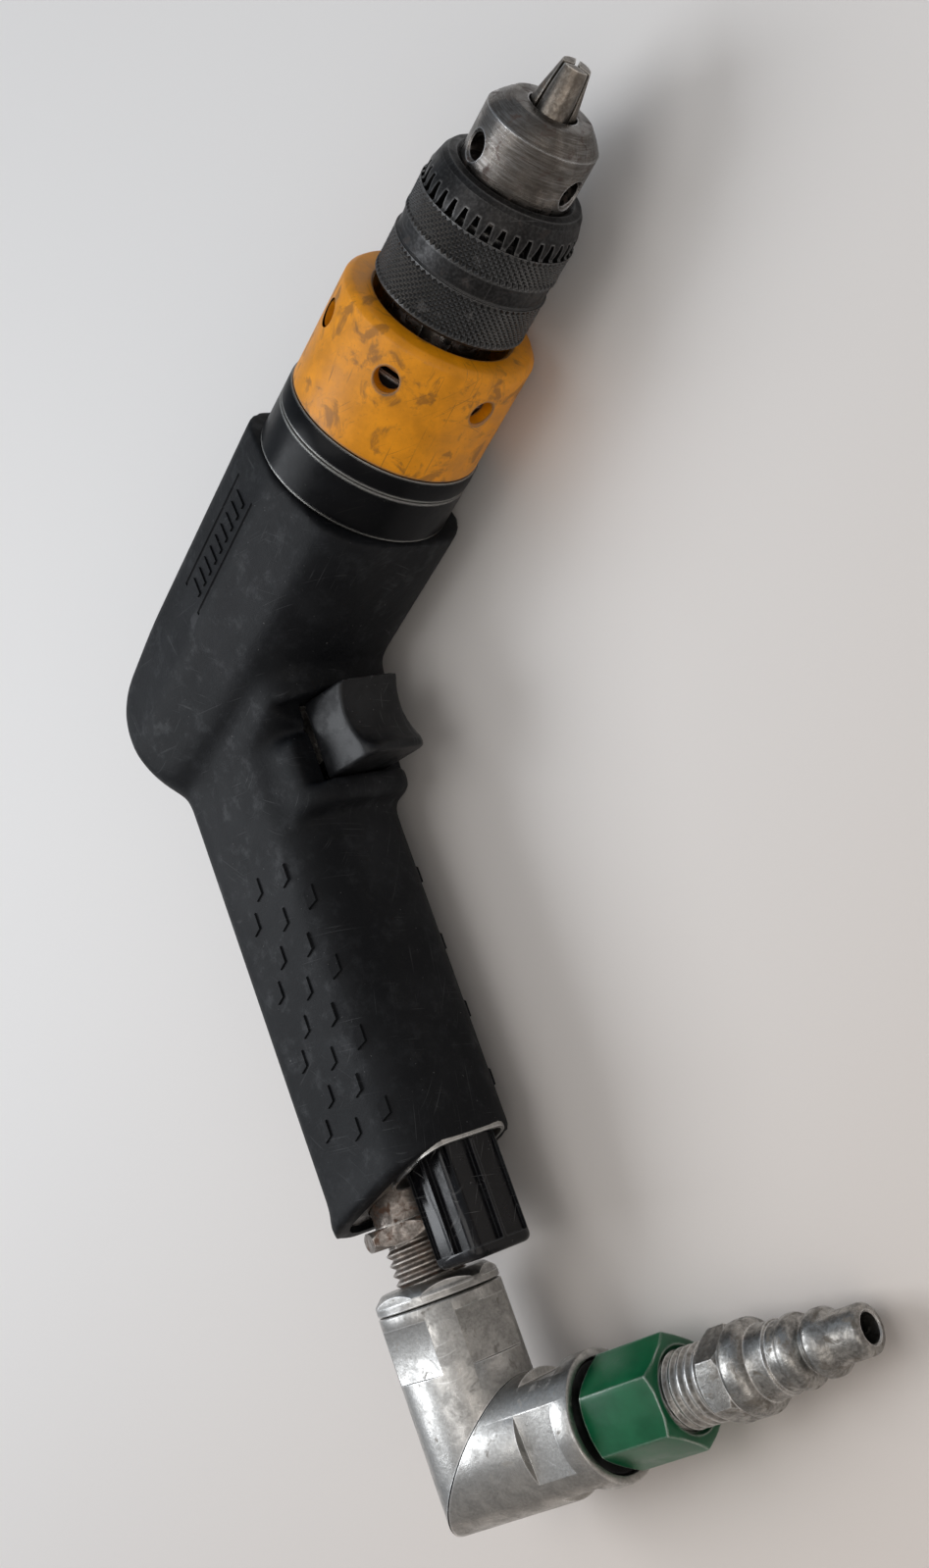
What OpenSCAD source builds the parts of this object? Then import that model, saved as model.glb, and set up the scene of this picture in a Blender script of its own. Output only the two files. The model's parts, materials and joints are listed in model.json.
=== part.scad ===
// Pistol-grip pneumatic drill lying on its side, millimetres, +Z up.
// X is the chuck axis (forward), the grip hangs towards -Y, the left side faces up.

/* [Barrel] */
// Outside diameter of the rubber-covered motor barrel
barrel_d = 44; // [38:0.5:50]
// Length of the barrel behind the front collar
barrel_l = 105; // [103:1:125]
// Length of gear case left bare between collar and cover
bare_case_l = 16.5; // [12:0.5:20]
// Outside diameter of the front clamping collar
collar_d = 43.4; // [40:0.2:48]
// Length of the front clamping collar
collar_l = 27.5; // [25:0.5:32]

/* [Chuck] */
// Outside diameter of the knurled chuck sleeve
sleeve_d = 34; // [33:0.5:38]
// Diameter of the chuck's nose
nose_d = 24.3; // [23.5:0.1:26]
// Largest shank the chuck holds
bit_d = 10; // [8:0.5:10]
// Half angle of the jaws to the chuck axis
jaw_angle = 13; // [12:0.5:14]
// Turn of the chuck body at rest
chuck_turn = 14.6; // [0:0.1:120]

/* [Grip] */
// Slope of the grip from square to the barrel
rake = 22.6; // [15:0.1:28]
// Where the inlet axis meets the barrel axis, behind the collar
grip_x = 85.2; // [80:0.1:90]
// Front-to-back depth of the covered grip
grip_depth = 42.3; // [41:0.1:48]
// Side-to-side width of the covered grip
grip_w = 34; // [32:0.5:38]
// Barrel axis to the foot of the grip, along the grip
grip_l = 126.5; // [120:0.5:140]

/* [Trigger] */
// Free travel of the trigger
trigger_travel = 6; // [4:0.5:7]
// Height of the trigger along the grip
trigger_h = 18; // [16:0.5:20]
// Width of the trigger
trigger_w = 17; // [14:0.5:18]

/* [Air inlet] */
// Outside diameter of the swivel
swivel_d = 29; // [26:0.5:32]
// Foot of the grip to the swivel's elbow point
elbow_drop = 54.5; // [50:0.5:60]
// Elbow point to the lower half's end
outlet_l = 35.5; // [32:0.5:42]
// Turn of the outlet about the grip's axis at rest
outlet_turn = -8; // [-30:0.5:30]
// Angle between the swivel's inlet and outlet
outlet_bend = 93; // [88:0.5:95]
// Length of the air plug beyond its adapter
plug_l = 46.5; // [44:0.5:52]

/* [Gears] */
// Gear module
gear_m = 0.6; // [0.55:0.01:0.62]
// Teeth on each sun
sun_t = 12; // [12:6:12]
// Teeth on each planet
planet_t = 18; // [18:6:18]

/* [Hidden] */
$fn = 64;
fit = 0.05;                 // radial running clearance
gap = 0.3;                  // clearance between bodies that pass without touching
cover_t = 3.4;              // rubber cover wall on the barrel
grip_t = 3;                 // rubber cover wall on the grip
case_r = barrel_d / 2 - cover_t;
bore_r = case_r - 2.2;      // motor bore in the housing
collar_r = collar_d / 2;
rear_x = -barrel_l;
case_rear_x = -46;          // joint between motor housing and gear case
spigot_l = 4;
ring_t = sun_t + 2 * planet_t;
centre_r = gear_m * (sun_t + planet_t) / 2;
ring_r = gear_m * ring_t / 2 + 2.6;
tooth_w = 8;
carrier_t = 3;

// stations along the barrel, from the motor to the chuck
plate_t = 6;
motor_rear_x = rear_x + 15;
motor_front_x = case_rear_x - spigot_l - plate_t;
motor_l = motor_front_x - motor_rear_x;
sun1_x = case_rear_x + 3;
stage1_x = sun1_x + 1;
carrier1_x = stage1_x + tooth_w + 0.5;
stage2_x = carrier1_x + carrier_t + 1;
carrier2_x = stage2_x + tooth_w + 0.5;
bearing_a_x = -11;
bearing_b_x = 7;
bearing_w = 8;
bearing_r = 14;
spindle_r = 6;
thread_r = 4.76;
neck_l = collar_l - 9.5;
neck_r = collar_r - 3.1;
collar_hole_r = 15.7;

// chuck
chuck_x = collar_l - 5;
sleeve_x = collar_l + 2.2;
sleeve_end_x = sleeve_x + 24.5;
teeth_end_x = sleeve_end_x + 5.2;
nose_cone_l = 3.8;
nose_x = teeth_end_x + 16;
tip_x = nose_x + 9.6;
sleeve_r = sleeve_d / 2;
nose_r = nose_d / 2;
sleeve_bore_r = sleeve_r - 2.7;
nut_l = 6;
nut_x = sleeve_end_x - nut_l - 1.7;
nut_seat_r = 9.4;
jaw_r = 3.3;
tip_out_r = 3;              // jaw pack half width at its tip
key_hole_r = 2.75;
key_hole_x = teeth_end_x + 4.6;
jaw_open = bit_d / 2 - 0.5;
jaw_out_slope = tan(jaw_angle);
jaw_back_r = sleeve_bore_r - gap - jaw_open;
crown_n = 36;               // bevel teeth on the sleeve

// grip
grip_back = -13.3;          // rear face, from the inlet axis
grip_mid = grip_back + grip_depth / 2;
core_d = grip_depth - 2 * grip_t;
core_w = grip_w - 2 * grip_t;
grip_round = 11;
foot_s = grip_l;
foot_rise = 13;             // the cover's foot is higher at the front, above the exhaust
trig_s = 22.5;              // trigger axis down the grip
trig_lat = 34.5;            // rear face of the trigger, from the inlet axis
trig_reach = 14.5;
trig_root = 4;              // part of the trigger inside the housing
stem_s = 29;                // axis of the throttle stem, down the grip
valve_r = 4.2;
throttle_l = 2.9;
throttle_lat = 6.7;
spring_lat = grip_back + grip_t + 4.4;
inlet_r = 6;
exhaust_lat = 19.5;
exhaust_r = 6;
deflector = [16, 18, 26];   // forward, across and down the grip
deflector_wall = 1.6;
deflector_s = foot_s - 13;
block_s = trig_s + trigger_h / 2 + 4; // end of the housing's trigger block

// air inlet
bush_l = 4.5;
stud_r = 8.2;
elbow_s = grip_l + elbow_drop;
collar_s = grip_l + 14;
upper_s = collar_s + 4.6;
swivel_r = swivel_d / 2;
spigot_r = 5.5;
recess_r = swivel_r - 2;
hex_adapter_l = 20;
adapter_z = outlet_l + 1;
plug_z = adapter_z + hex_adapter_l;
hose_r = 3.2;
plug_thread_r = 8.4;

// ---- frames ----------------------------------------------------------------

// local z along the barrel, local x towards +Y at phi = 0
module on_barrel(x, phi = 0)
  translate([x, 0, 0]) rotate([phi, 0, 0]) rotate([0, 90, 0]) rotate([0, 0, 90]) children();

// local z down the grip, local x forward, local y up (row Z)
module on_grip(s = 0)
  translate([-grip_x, 0, 0]) rotate([90, 0, -rake]) translate([0, 0, s]) children();

// local z out of the swivel's lower half
module on_outlet(d = 0)
  on_grip(elbow_s) rotate([0, outlet_bend, outlet_turn]) translate([0, 0, d]) children();

// local z along the oblique swivel axis
module on_oblique()
  on_grip(elbow_s) rotate([0, outlet_bend / 2, outlet_turn]) children();

// ---- shared shapes ---------------------------------------------------------

module tube(r, hole_r, l) difference() {
  cylinder(r = r, h = l);
  translate([0, 0, -1]) cylinder(r = hole_r, h = l + 2);
}

module hexagon(flats, l) cylinder(r = flats / sqrt(3), h = l, $fn = 6);

// turned shape from [radius, height] corners
module turned(corners) rotate_extrude() polygon(corners);

// rod whose surface steps in and out as a thread's crests do
module thread_rod(r, l, pitch, depth) turned(concat(
  [[0, 0]],
  [for (i = [0 : round(l / pitch) - 1], c = [0, 1])
    [r - depth * (1 - c), l * (i + c / 2) / round(l / pitch)]],
  [[r - depth, l], [0, l]]));

module rounded_box(size, r) {
  linear_extrude(size[2]) {
    square([size[0] - 2 * r, size[1]], center = true);
    square([size[0], size[1] - 2 * r], center = true);
    for (x = [-1, 1], y = [-1, 1])
      translate([x * (size[0] / 2 - r), y * (size[1] / 2 - r)]) circle(r);
  }
}

module ball_bearing(outer_r, hole_r, w) {
  mid = (outer_r + hole_r) / 2;
  ball = (outer_r - hole_r) * 0.29;
  race = (outer_r - hole_r) * 0.3;
  difference() {
    union() {
      tube(outer_r, outer_r - race, w);
      tube(hole_r + race, hole_r, w);
      // the cage and balls as one ring that joins the races
      translate([0, 0, w * 0.2]) tube(outer_r - race, hole_r + race, w * 0.6);
    }
    for (z = [-0.01, w * 0.9])
      translate([0, 0, z]) tube(mid + ball * 0.5, mid - ball * 0.5, w * 0.1 + 0.01);
  }
}

// flank points [radius, angle] mirrored to both sides of a tooth or space
function flanks(points, turn) = [
  for (p = points) p[0] * [cos(turn - p[1]), sin(turn - p[1])],
  for (i = [len(points) - 1 : -1 : 0])
    points[i][0] * [cos(turn + points[i][1]), sin(turn + points[i][1])]
];

// spur gear with straight-flanked teeth, one of them along +x; bite is the backlash
module gear_2d(teeth, bite = 0.06) {
  pitch_r = gear_m * teeth / 2;
  root_r = pitch_r - 1.25 * gear_m;
  tip_r = pitch_r + 0.9 * gear_m;
  half = 90 / teeth;
  cut = bite / pitch_r * 90 / PI;
  polygon([for (i = [0 : teeth - 1])
    each flanks([[root_r, 1.5 * half], [pitch_r, half - cut], [tip_r, 0.42 * half]], i * 360 / teeth)]);
}

// hollow of an internal gear, with one tooth space along +x
module ring_space_2d(teeth, bite = 0.06) {
  pitch_r = gear_m * teeth / 2;
  root_r = pitch_r + 1.25 * gear_m;
  tip_r = pitch_r - 0.8 * gear_m;
  half = 90 / teeth;
  add = bite / pitch_r * 90 / PI;
  polygon([for (i = [0 : teeth - 1])
    each flanks([[tip_r, 1.45 * half], [pitch_r, half + add], [root_r, 0.55 * half]], i * 360 / teeth)]);
}

// ---- housing and cover -----------------------------------------------------

module grip_prism(depth, width, r, s0, s1)
  on_grip(s0) translate([grip_mid, 0, 0]) rounded_box([depth, width, s1 - s0], r);

// block that carries the trigger below the barrel
module trigger_block(width, reach, s0, s1, r)
  on_grip(s0) translate([reach / 2, 0, 0]) rounded_box([reach, width, s1 - s0], r);

module air_passages() {
  on_grip(stem_s) cylinder(r = inlet_r, h = grip_l - stem_s + 1);
  on_grip(stem_s + 8) translate([exhaust_lat, 0, 0]) cylinder(r = exhaust_r, h = grip_l);
  // twin ways for the exhaust on both sides of the trigger stem
  for (y = [-8.5, 8.5]) on_grip(10) translate([exhaust_lat, y, 0]) cylinder(r = 3, h = stem_s + 4);
  on_grip(stem_s) translate([-grip_depth, 0, 0]) rotate([0, 90, 0])
    cylinder(r = valve_r, h = grip_depth + trig_lat + 1);
}

module motor_housing() color("silver") difference() {
  union() {
    on_barrel(rear_x + cover_t) cylinder(r = case_r, h = case_rear_x - rear_x - cover_t);
    grip_prism(core_d, core_w, grip_round - grip_t, 0, foot_s);
    trigger_block(core_w, trig_lat - gap, 10, block_s, 5);
    // lips round the exhaust and the inlet at the foot of the grip
    on_grip(foot_s - 12) translate([exhaust_lat - 1, 0, 0]) rounded_box([20, 26, 7], 6);
  }
  on_barrel(rear_x + cover_t + 4) cylinder(r = bore_r, h = barrel_l);
  on_barrel(case_rear_x - spigot_l) cylinder(r = bore_r + 1.1, h = spigot_l + 30);
  on_barrel(case_rear_x) cylinder(r = barrel_d / 2 + 4, h = 60);
  air_passages();
  // sockets of the bushing and of the exhaust deflector
  on_grip(foot_s - 16) cylinder(r = stud_r + 0.8, h = 20);
  on_grip(deflector_s - 1) translate([exhaust_lat, 0, 0]) rounded_box(deflector, 3.5);
  // room for the trigger's root, at the end of its travel
  on_grip(trig_s - trigger_h / 2 - 1) translate([trig_lat - trig_root - trigger_travel - gap + 12, 0, 0])
    rounded_box([24, trigger_w + 1, trigger_h + 2], 2);
}

module gear_case() color("#24262a") difference() {
  union() {
    on_barrel(case_rear_x) cylinder(r = case_r, h = -case_rear_x - bare_case_l + 0.5);
    on_barrel(case_rear_x - spigot_l) cylinder(r = bore_r + 1.1, h = spigot_l + 1);
    on_barrel(-bare_case_l) cylinder(r = barrel_d / 2 + 0.1, h = bare_case_l);
    on_barrel(-1) cylinder(r = neck_r, h = neck_l + 1);
  }
  on_barrel(case_rear_x - spigot_l - 1) cylinder(r = bore_r - 1, h = spigot_l + 4);
  on_barrel(case_rear_x + 2) cylinder(r = ring_r, h = carrier2_x + 3 - case_rear_x);
  on_barrel(-20) cylinder(r = bearing_r, h = 60);
  // fine seam groove round the bare ring
  on_barrel(-5.4) tube(barrel_d, collar_r - 0.3, 0.4);
}

// one side of the covered barrel's section as shares of its radius: [towards +Y, half width]
cover_side = [[1.014, 0.5], [0.955, 0.673], [0.832, 0.8], [0.045, 1.027], [-0.727, 0.923],
  [-0.932, 0.727], [-1.027, 0.409]];

function other_side(points) = [for (i = [len(points) - 1 : -1 : 0]) [points[i][0], -points[i][1]]];

module cover_slab(x, k) on_barrel(x) linear_extrude(0.1) scale(k * barrel_d / 2)
  polygon(concat(cover_side, other_side(cover_side)));

module cover_outer() {
  r = barrel_d / 2;
  l = barrel_l - bare_case_l;
  intersection() {
    hull() {
      cover_slab(rear_x, 0.94);
      cover_slab(-bare_case_l - 0.1, 1);
    }
    // rounds the heel and the front rim off
    on_barrel(rear_x) turned([[0, 0], [r - 9, 0], [r - 4, 1.6], [r - 0.8, 5], [r + 1, 10],
      [r + 2.6, 30], [r + 3.6, l - 5], [r + 0.6, l], [0, l]]);
  }
  // skirt beside the trigger's top
  intersection() {
    on_grip(2) translate([grip_mid + 2, 0, 0]) rounded_box([grip_depth + 16, grip_w + 1, 16], 9);
    on_barrel(rear_x + 12) cylinder(r = r + 8, h = barrel_l - 30);
  }
  grip_prism(grip_depth, grip_w, grip_round, 4, foot_s);
  // nose below the trigger
  trigger_block(grip_w - 3, trig_lat + 1.5, 20, block_s + 2, 8);
}

module grip_cover() color("#1d1f23") difference() {
  cover_outer();
  on_barrel(rear_x + cover_t) cylinder(r = case_r, h = barrel_l);
  grip_prism(core_d, core_w, grip_round - grip_t, 0, foot_s + 1);
  trigger_block(core_w, trig_lat - gap, 10, block_s, 5);
  on_barrel(-bare_case_l) cylinder(r = barrel_d, h = 60);
  on_grip(foot_s - 12) translate([exhaust_lat - 1, 0, 0]) rounded_box([20, 26, 14], 6);
  on_grip(deflector_s) translate([exhaust_lat, 0, 0]) rounded_box(deflector, 3.5);
  // trigger window, and the narrower slot that the trigger sinks into
  on_grip(trig_s - trigger_h / 2 - 0.5) translate([trig_lat + 12, 0, 0])
    rounded_box([30, grip_w + 20, trigger_h + 1], 4);
  on_grip(trig_s - trigger_h / 2 - 0.5) translate([trig_lat + 4, 0, 0])
    rounded_box([28, trigger_w + 1, trigger_h + 1], 2);
  // the foot rises towards the front
  on_grip(foot_s) translate([grip_back, 0, 0]) rotate([0, atan(foot_rise / grip_depth), 0])
    translate([-20, -40, 0]) cube([100, 80, 60]);
}

module front_collar() color("#c98a12") difference() {
  on_barrel(0) turned([[0, 0], [collar_r, 0], [collar_r, collar_l - 1.6],
    [collar_r - 1.2, collar_l], [0, collar_l]]);
  on_barrel(-1) cylinder(r = neck_r + fit, h = neck_l + 1.5);
  on_barrel(-1) cylinder(r = collar_hole_r, h = collar_l + 2);
  for (i = [0 : 5])
    on_barrel(18.3, 60 * i) rotate([0, 90, 0]) cylinder(r = 2.8, h = 60);
}

// ---- motor -----------------------------------------------------------------

module rear_plate() color("#8d9196") on_barrel(motor_rear_x - plate_t) difference() {
  cylinder(r = bore_r, h = plate_t);
  translate([0, 0, -1]) cylinder(r = 9.5, h = plate_t);
  cylinder(r = 4.5, h = plate_t + 1);
}

module front_plate() color("#8d9196") on_barrel(motor_front_x) difference() {
  cylinder(r = bore_r, h = plate_t);
  translate([0, 0, 2]) cylinder(r = 11, h = plate_t);
  translate([0, 0, -1]) cylinder(r = 6, h = plate_t + 1);
}

module rear_bearing() color("#b8bcc0") on_barrel(motor_rear_x - plate_t - 1) ball_bearing(9.5, 3, 6);

module front_bearing() color("#b8bcc0") on_barrel(motor_front_x + 2) ball_bearing(11, 4, 7);

motor_bore_r = bore_r - 2.6;
eccentric = 1.4;
rotor_r = motor_bore_r - eccentric - 0.2;

module motor_cylinder() color("#9aa0a3") on_barrel(motor_rear_x) difference() {
  cylinder(r = bore_r, h = motor_l);
  translate([eccentric, 0, -1]) cylinder(r = motor_bore_r, h = motor_l + 2);
  // exhaust ports, on the side that faces the grip
  for (z = [8 : 6 : motor_l - 8])
    translate([0, 0, z]) rotate([0, -90, 0]) cylinder(r = 1.8, h = barrel_d);
}

vane_n = 5;
vane_t = 2;
vane_depth = 6;             // slot in the rotor
vane_w = 4.8;

module rotor() color("#6f7377") difference() {
  union() {
    on_barrel(motor_rear_x + 0.2) cylinder(r = rotor_r, h = motor_l - 0.4);
    on_barrel(motor_rear_x - plate_t - 1) cylinder(r = 3, h = plate_t + 2);
    on_barrel(motor_front_x - 1) cylinder(r = 4, h = 1 + plate_t + 3.2);
    on_barrel(motor_front_x + 5) cylinder(r = gear_m * (sun_t / 2 - 1.25), h = sun1_x - motor_front_x);
    on_barrel(sun1_x) linear_extrude(tooth_w + 1) gear_2d(sun_t);
  }
  for (i = [0 : vane_n - 1])
    on_barrel(motor_rear_x, i * 360 / vane_n)
      translate([rotor_r - vane_depth, -vane_t / 2 - 0.05, -1])
        cube([vane_depth + 2, vane_t + 0.1, motor_l + 2]);
}

// each vane is pressed in as far as the near side of the eccentric bore presses it
module vane(i) color("#5a3d22") on_barrel(motor_rear_x + 0.4, i * 360 / vane_n)
  translate([rotor_r + 0.1 - vane_w, -vane_t / 2, 0]) cube([vane_w, vane_t, motor_l - 0.8]);
module vane_1() vane(0);
module vane_2() vane(1);
module vane_3() vane(2);
module vane_4() vane(3);
module vane_5() vane(4);

// ---- gear train ------------------------------------------------------------

module ring_gear() color("#7d8185") on_barrel(case_rear_x + 2) difference() {
  cylinder(r = ring_r, h = carrier2_x - case_rear_x + 2);
  translate([0, 0, -1]) linear_extrude(carrier2_x - case_rear_x + 4) rotate(ring_phase)
    ring_space_2d(ring_t);
}

// A planet rolls from place 0 to place i round the still sun, so it turns by that much more.
module planet_place(i) rotate(i * 120) translate([centre_r, 0, 0])
  rotate(i * 120 * sun_t / planet_t) children();

// the planet at place 0 shows the sun's tooth a space, and the ring a space or a tooth
planet_phase = 180 + 180 / planet_t;
ring_phase = planet_t % 2 == 0 ? 180 / ring_t : 0;

module planet(x, i, pin_r) color("#84888c") on_barrel(x) planet_place(i) rotate(planet_phase) difference() {
  linear_extrude(tooth_w) gear_2d(planet_t);
  translate([0, 0, -1]) cylinder(r = pin_r + fit, h = tooth_w + 2);
}
pin1_r = 2;
pin2_r = 2.4;
module stage1_planet_1() planet(stage1_x, 0, pin1_r);
module stage1_planet_2() planet(stage1_x, 1, pin1_r);
module stage1_planet_3() planet(stage1_x, 2, pin1_r);
module stage2_planet_1() planet(stage2_x, 0, pin2_r);
module stage2_planet_2() planet(stage2_x, 1, pin2_r);
module stage2_planet_3() planet(stage2_x, 2, pin2_r);

module planet_pins(x, r)
  for (i = [0 : 2]) on_barrel(x, i * 120) translate([centre_r, 0, -0.3]) cylinder(r = r, h = tooth_w + 1.5);

carrier_r = centre_r + pin2_r + 1.6;

module stage1_carrier() color("#75797d") {
  on_barrel(carrier1_x) cylinder(r = carrier_r, h = carrier_t);
  planet_pins(stage1_x, pin1_r);
  on_barrel(carrier1_x + carrier_t - 0.5) linear_extrude(tooth_w + 1.2) gear_2d(sun_t);
}

module spindle() color("#8a8e92") {
  planet_pins(stage2_x, pin2_r);
  on_barrel(carrier2_x) cylinder(r = carrier_r, h = carrier_t + 0.5);
  on_barrel(carrier2_x + 1) cylinder(r = spindle_r + 2, h = bearing_a_x - carrier2_x - 1);
  on_barrel(bearing_a_x - 1) cylinder(r = spindle_r, h = bearing_b_x + bearing_w + 2 - bearing_a_x);
  on_barrel(bearing_b_x + bearing_w) cylinder(r = spindle_r + 1.5, h = chuck_x - bearing_b_x - bearing_w);
  on_barrel(chuck_x - 1) cylinder(r = thread_r, h = 15);
}

module spindle_bearing(x) color("#b8bcc0") on_barrel(x) ball_bearing(bearing_r, spindle_r, bearing_w);
module spindle_bearing_rear() spindle_bearing(bearing_a_x);
module spindle_bearing_front() spindle_bearing(bearing_b_x);
module bearing_spacer() color("#9a9ea2") on_barrel(bearing_a_x + bearing_w)
  tube(bearing_r, bearing_r - 2, bearing_b_x - bearing_a_x - bearing_w);
module collar_seal() color("#161618") on_barrel(bearing_b_x + bearing_w)
  tube(bearing_r, spindle_r + 1.5 + fit, 2.4);

// ---- chuck -----------------------------------------------------------------

function jaw_out_r(x) = tip_out_r + (tip_x - x) * jaw_out_slope;

// local z along a jaw's own axis, pointing forward, from the point under its tip
module on_jaw(i)
  on_barrel(tip_x, chuck_turn + i * 120)
    translate([tip_out_r - jaw_r / cos(jaw_angle), 0, 0]) rotate([0, -jaw_angle, 0]) children();

module chuck_body() color("#a9abad") difference() {
  on_barrel(0) turned([[0, chuck_x], [12.5, chuck_x], [12.5, sleeve_x + 0.4],
    [sleeve_bore_r - fit, sleeve_x + 1.6], [sleeve_bore_r - fit, nut_x - gap],
    [nut_seat_r, nut_x - gap], [nut_seat_r, nut_x + nut_l + gap],
    [nose_r - fit, nut_x + nut_l + gap], [nose_r - fit, teeth_end_x], [nose_r, teeth_end_x + gap],
    [nose_r, nose_x - nose_cone_l], [nose_r - 3, nose_x - 0.5], [nose_r - 3.6, nose_x], [0, nose_x]]);
  // spindle thread and the way in for the shank
  on_barrel(chuck_x - 1) cylinder(r = thread_r, h = 16);
  on_barrel(chuck_x + 14.5) cylinder(r = bit_d / 2 + 0.3, h = 60);
  // jaw ways
  for (i = [0 : 2]) on_jaw(i) translate([0, 0, -80]) cylinder(r = jaw_r + fit, h = 90);
  // key holes
  for (i = [0 : 2]) on_barrel(key_hole_x, chuck_turn + 60 + i * 120) translate([nose_r - 6, 0, 0])
    rotate([0, 90, 0]) cylinder(r = key_hole_r, h = 20);
}

// crown of teeth on the sleeve's front, cut by axial grooves that leave a rim behind them
module sleeve_crown() {
  from = sleeve_end_x - 1;
  l = teeth_end_x + 0.6 - from;
  difference() {
    on_barrel(from) turned([[nose_r + fit, 0], [sleeve_r - 0.3, 0], [sleeve_r - 0.5, 1],
      [sleeve_r - 1.3, l - 1.6], [sleeve_r - 2.4, l - 1], [nose_r + 0.7, l], [nose_r + fit, l]]);
    on_barrel(teeth_end_x - 2.2) linear_extrude(10) crown_spaces_2d();
  }
}

module crown_spaces_2d() difference() {
  circle(sleeve_r + 2);
  polygon([for (i = [0 : crown_n - 1])
    each flanks([[nose_r - 1, 108 / crown_n], [sleeve_r + 4, 76 / crown_n]], i * 360 / crown_n)]);
}

module chuck_sleeve() color("#4b4e52") {
  on_barrel(sleeve_x) turned([[sleeve_bore_r, 0], [sleeve_r - 0.9, 0], [sleeve_r, 1],
    [sleeve_r, 10.5], [sleeve_r - 0.6, 11], [sleeve_r - 0.6, 15], [sleeve_r, 15.5],
    [sleeve_r, sleeve_end_x - sleeve_x - 2.2], [sleeve_r - 1.2, sleeve_end_x - sleeve_x - 1],
    [nose_r + fit, sleeve_end_x - sleeve_x - 1], [nose_r + fit, sleeve_end_x - sleeve_x - 1.5],
    [sleeve_bore_r, sleeve_end_x - sleeve_x - 1.5]]);
  sleeve_crown();
}

module chuck_nut() color("#85898d") on_barrel(nut_x) difference() {
  cylinder(r = sleeve_bore_r, h = nut_l);
  // cone along the jaws' outer line
  translate([0, 0, -0.01])
    cylinder(r1 = jaw_out_r(nut_x) + fit, r2 = jaw_out_r(nut_x + nut_l) + fit, h = nut_l + 0.02);
}

jaw_l = 36;
module chuck_jaw(i) color("#9b8f83") intersection() {
  on_jaw(i) translate([0, 0, -jaw_l / cos(jaw_angle)]) cylinder(r = jaw_r, h = jaw_l / cos(jaw_angle) + 3);
  // wedge of one third about the axis, with the gripping edge just off it
  on_barrel(tip_x - jaw_l - 6, chuck_turn + i * 120) translate([0.55, 0, 0]) linear_extrude(jaw_l + 6)
    polygon([[0, 0], [20, -34], [20, 34]]);
  on_barrel(tip_x - jaw_l - 6) union() {
    cylinder(r = jaw_back_r, h = jaw_l + 6);
    translate([0, 0, 24]) cylinder(r = 12, h = jaw_l - 18);
  }
}
module chuck_jaw_1() chuck_jaw(0);
module chuck_jaw_2() chuck_jaw(1);
module chuck_jaw_3() chuck_jaw(2);

// ---- trigger and throttle ----------------------------------------------------

module trigger() color("#232529") on_grip(trig_s) difference() {
  translate([trig_lat + (trig_reach - trig_root) / 2, 0, -trigger_h / 2])
    rounded_box([trig_reach + trig_root, trigger_w, trigger_h], 3);
  // finger hollow
  translate([trig_lat + trig_reach + 24, 0, 1]) rotate([90, 0, 0]) cylinder(r = 26, h = 60, center = true);
  translate([trig_lat - 5, 0, stem_s - trig_s]) rotate([0, 90, 0]) cylinder(r = 2, h = 5 + 4);
}

module trigger_stem() color("#b0b4b8") on_grip(stem_s) translate([throttle_lat + throttle_l, 0, 0])
  rotate([0, 90, 0]) cylinder(r = 2, h = trig_lat + 4 - throttle_lat - throttle_l);

module valve_seat() color("#b48a3c") on_grip(stem_s) translate([throttle_lat + throttle_l + gap, 0, 0])
  rotate([0, 90, 0]) tube(valve_r, 2 + fit, 2.6);

module throttle_valve() color("#2b2b2d") on_grip(stem_s) translate([throttle_lat, 0, 0]) rotate([0, 90, 0])
  cylinder(r = valve_r - 0.5, h = throttle_l);

// closed coil as a tube of n sides swept along a helix
module coil(mean_r, wire_r, pitch, turns, n = 8, steps = 20) {
  last = turns * steps;
  points = [for (i = [0 : last], k = [0 : n - 1])
    let (a = i * 360 / steps, w = mean_r + wire_r * cos(k * 360 / n))
    [w * cos(a), w * sin(a), pitch * i / steps + wire_r * sin(k * 360 / n)]];
  sides = [for (i = [0 : last - 1], k = [0 : n - 1])
    [i * n + k, i * n + (k + 1) % n, (i + 1) * n + (k + 1) % n, (i + 1) * n + k]];
  ends = [[for (k = [n - 1 : -1 : 0]) k], [for (k = [0 : n - 1]) last * n + k]];
  polyhedron(points, concat(sides, ends));
}

module valve_spring() color("#9ea2a6") on_grip(stem_s) translate([spring_lat + 0.5, 0, 0])
  rotate([0, 90, 0]) coil(2.9, 0.45, (throttle_lat - spring_lat - 1) / 4.5, 4.5);

module valve_plug() color("#a4a8ac") on_grip(stem_s) translate([spring_lat - 4.4, 0, 0]) rotate([0, 90, 0])
  cylinder(r = valve_r, h = 4);

// ---- exhaust -------------------------------------------------------------------

deflector_hollow = [deflector[0] - 2 * deflector_wall, deflector[1] - 2 * deflector_wall];

module exhaust_deflector() color("#1a1b1e")
  on_grip(deflector_s) translate([exhaust_lat, 0, 0]) difference() {
  rounded_box(deflector, 3.5);
  translate([0, 0, -1]) rounded_box([deflector_hollow[0], deflector_hollow[1], deflector[2] - 1], 2.4);
  // three slots through the front of the lower end, the middle one wide
  for (y = [-6, 0, 6])
    translate([5, y, deflector[2] - 6]) cube([12, y == 0 ? 6 : 2.4, 8], center = true);
}

module exhaust_felt() color("#8a8577") on_grip(deflector_s + 0.5) translate([exhaust_lat, 0, 0])
  rounded_box([deflector_hollow[0], deflector_hollow[1], 14], 2.4);

// ---- air inlet and swivel --------------------------------------------------------

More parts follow.
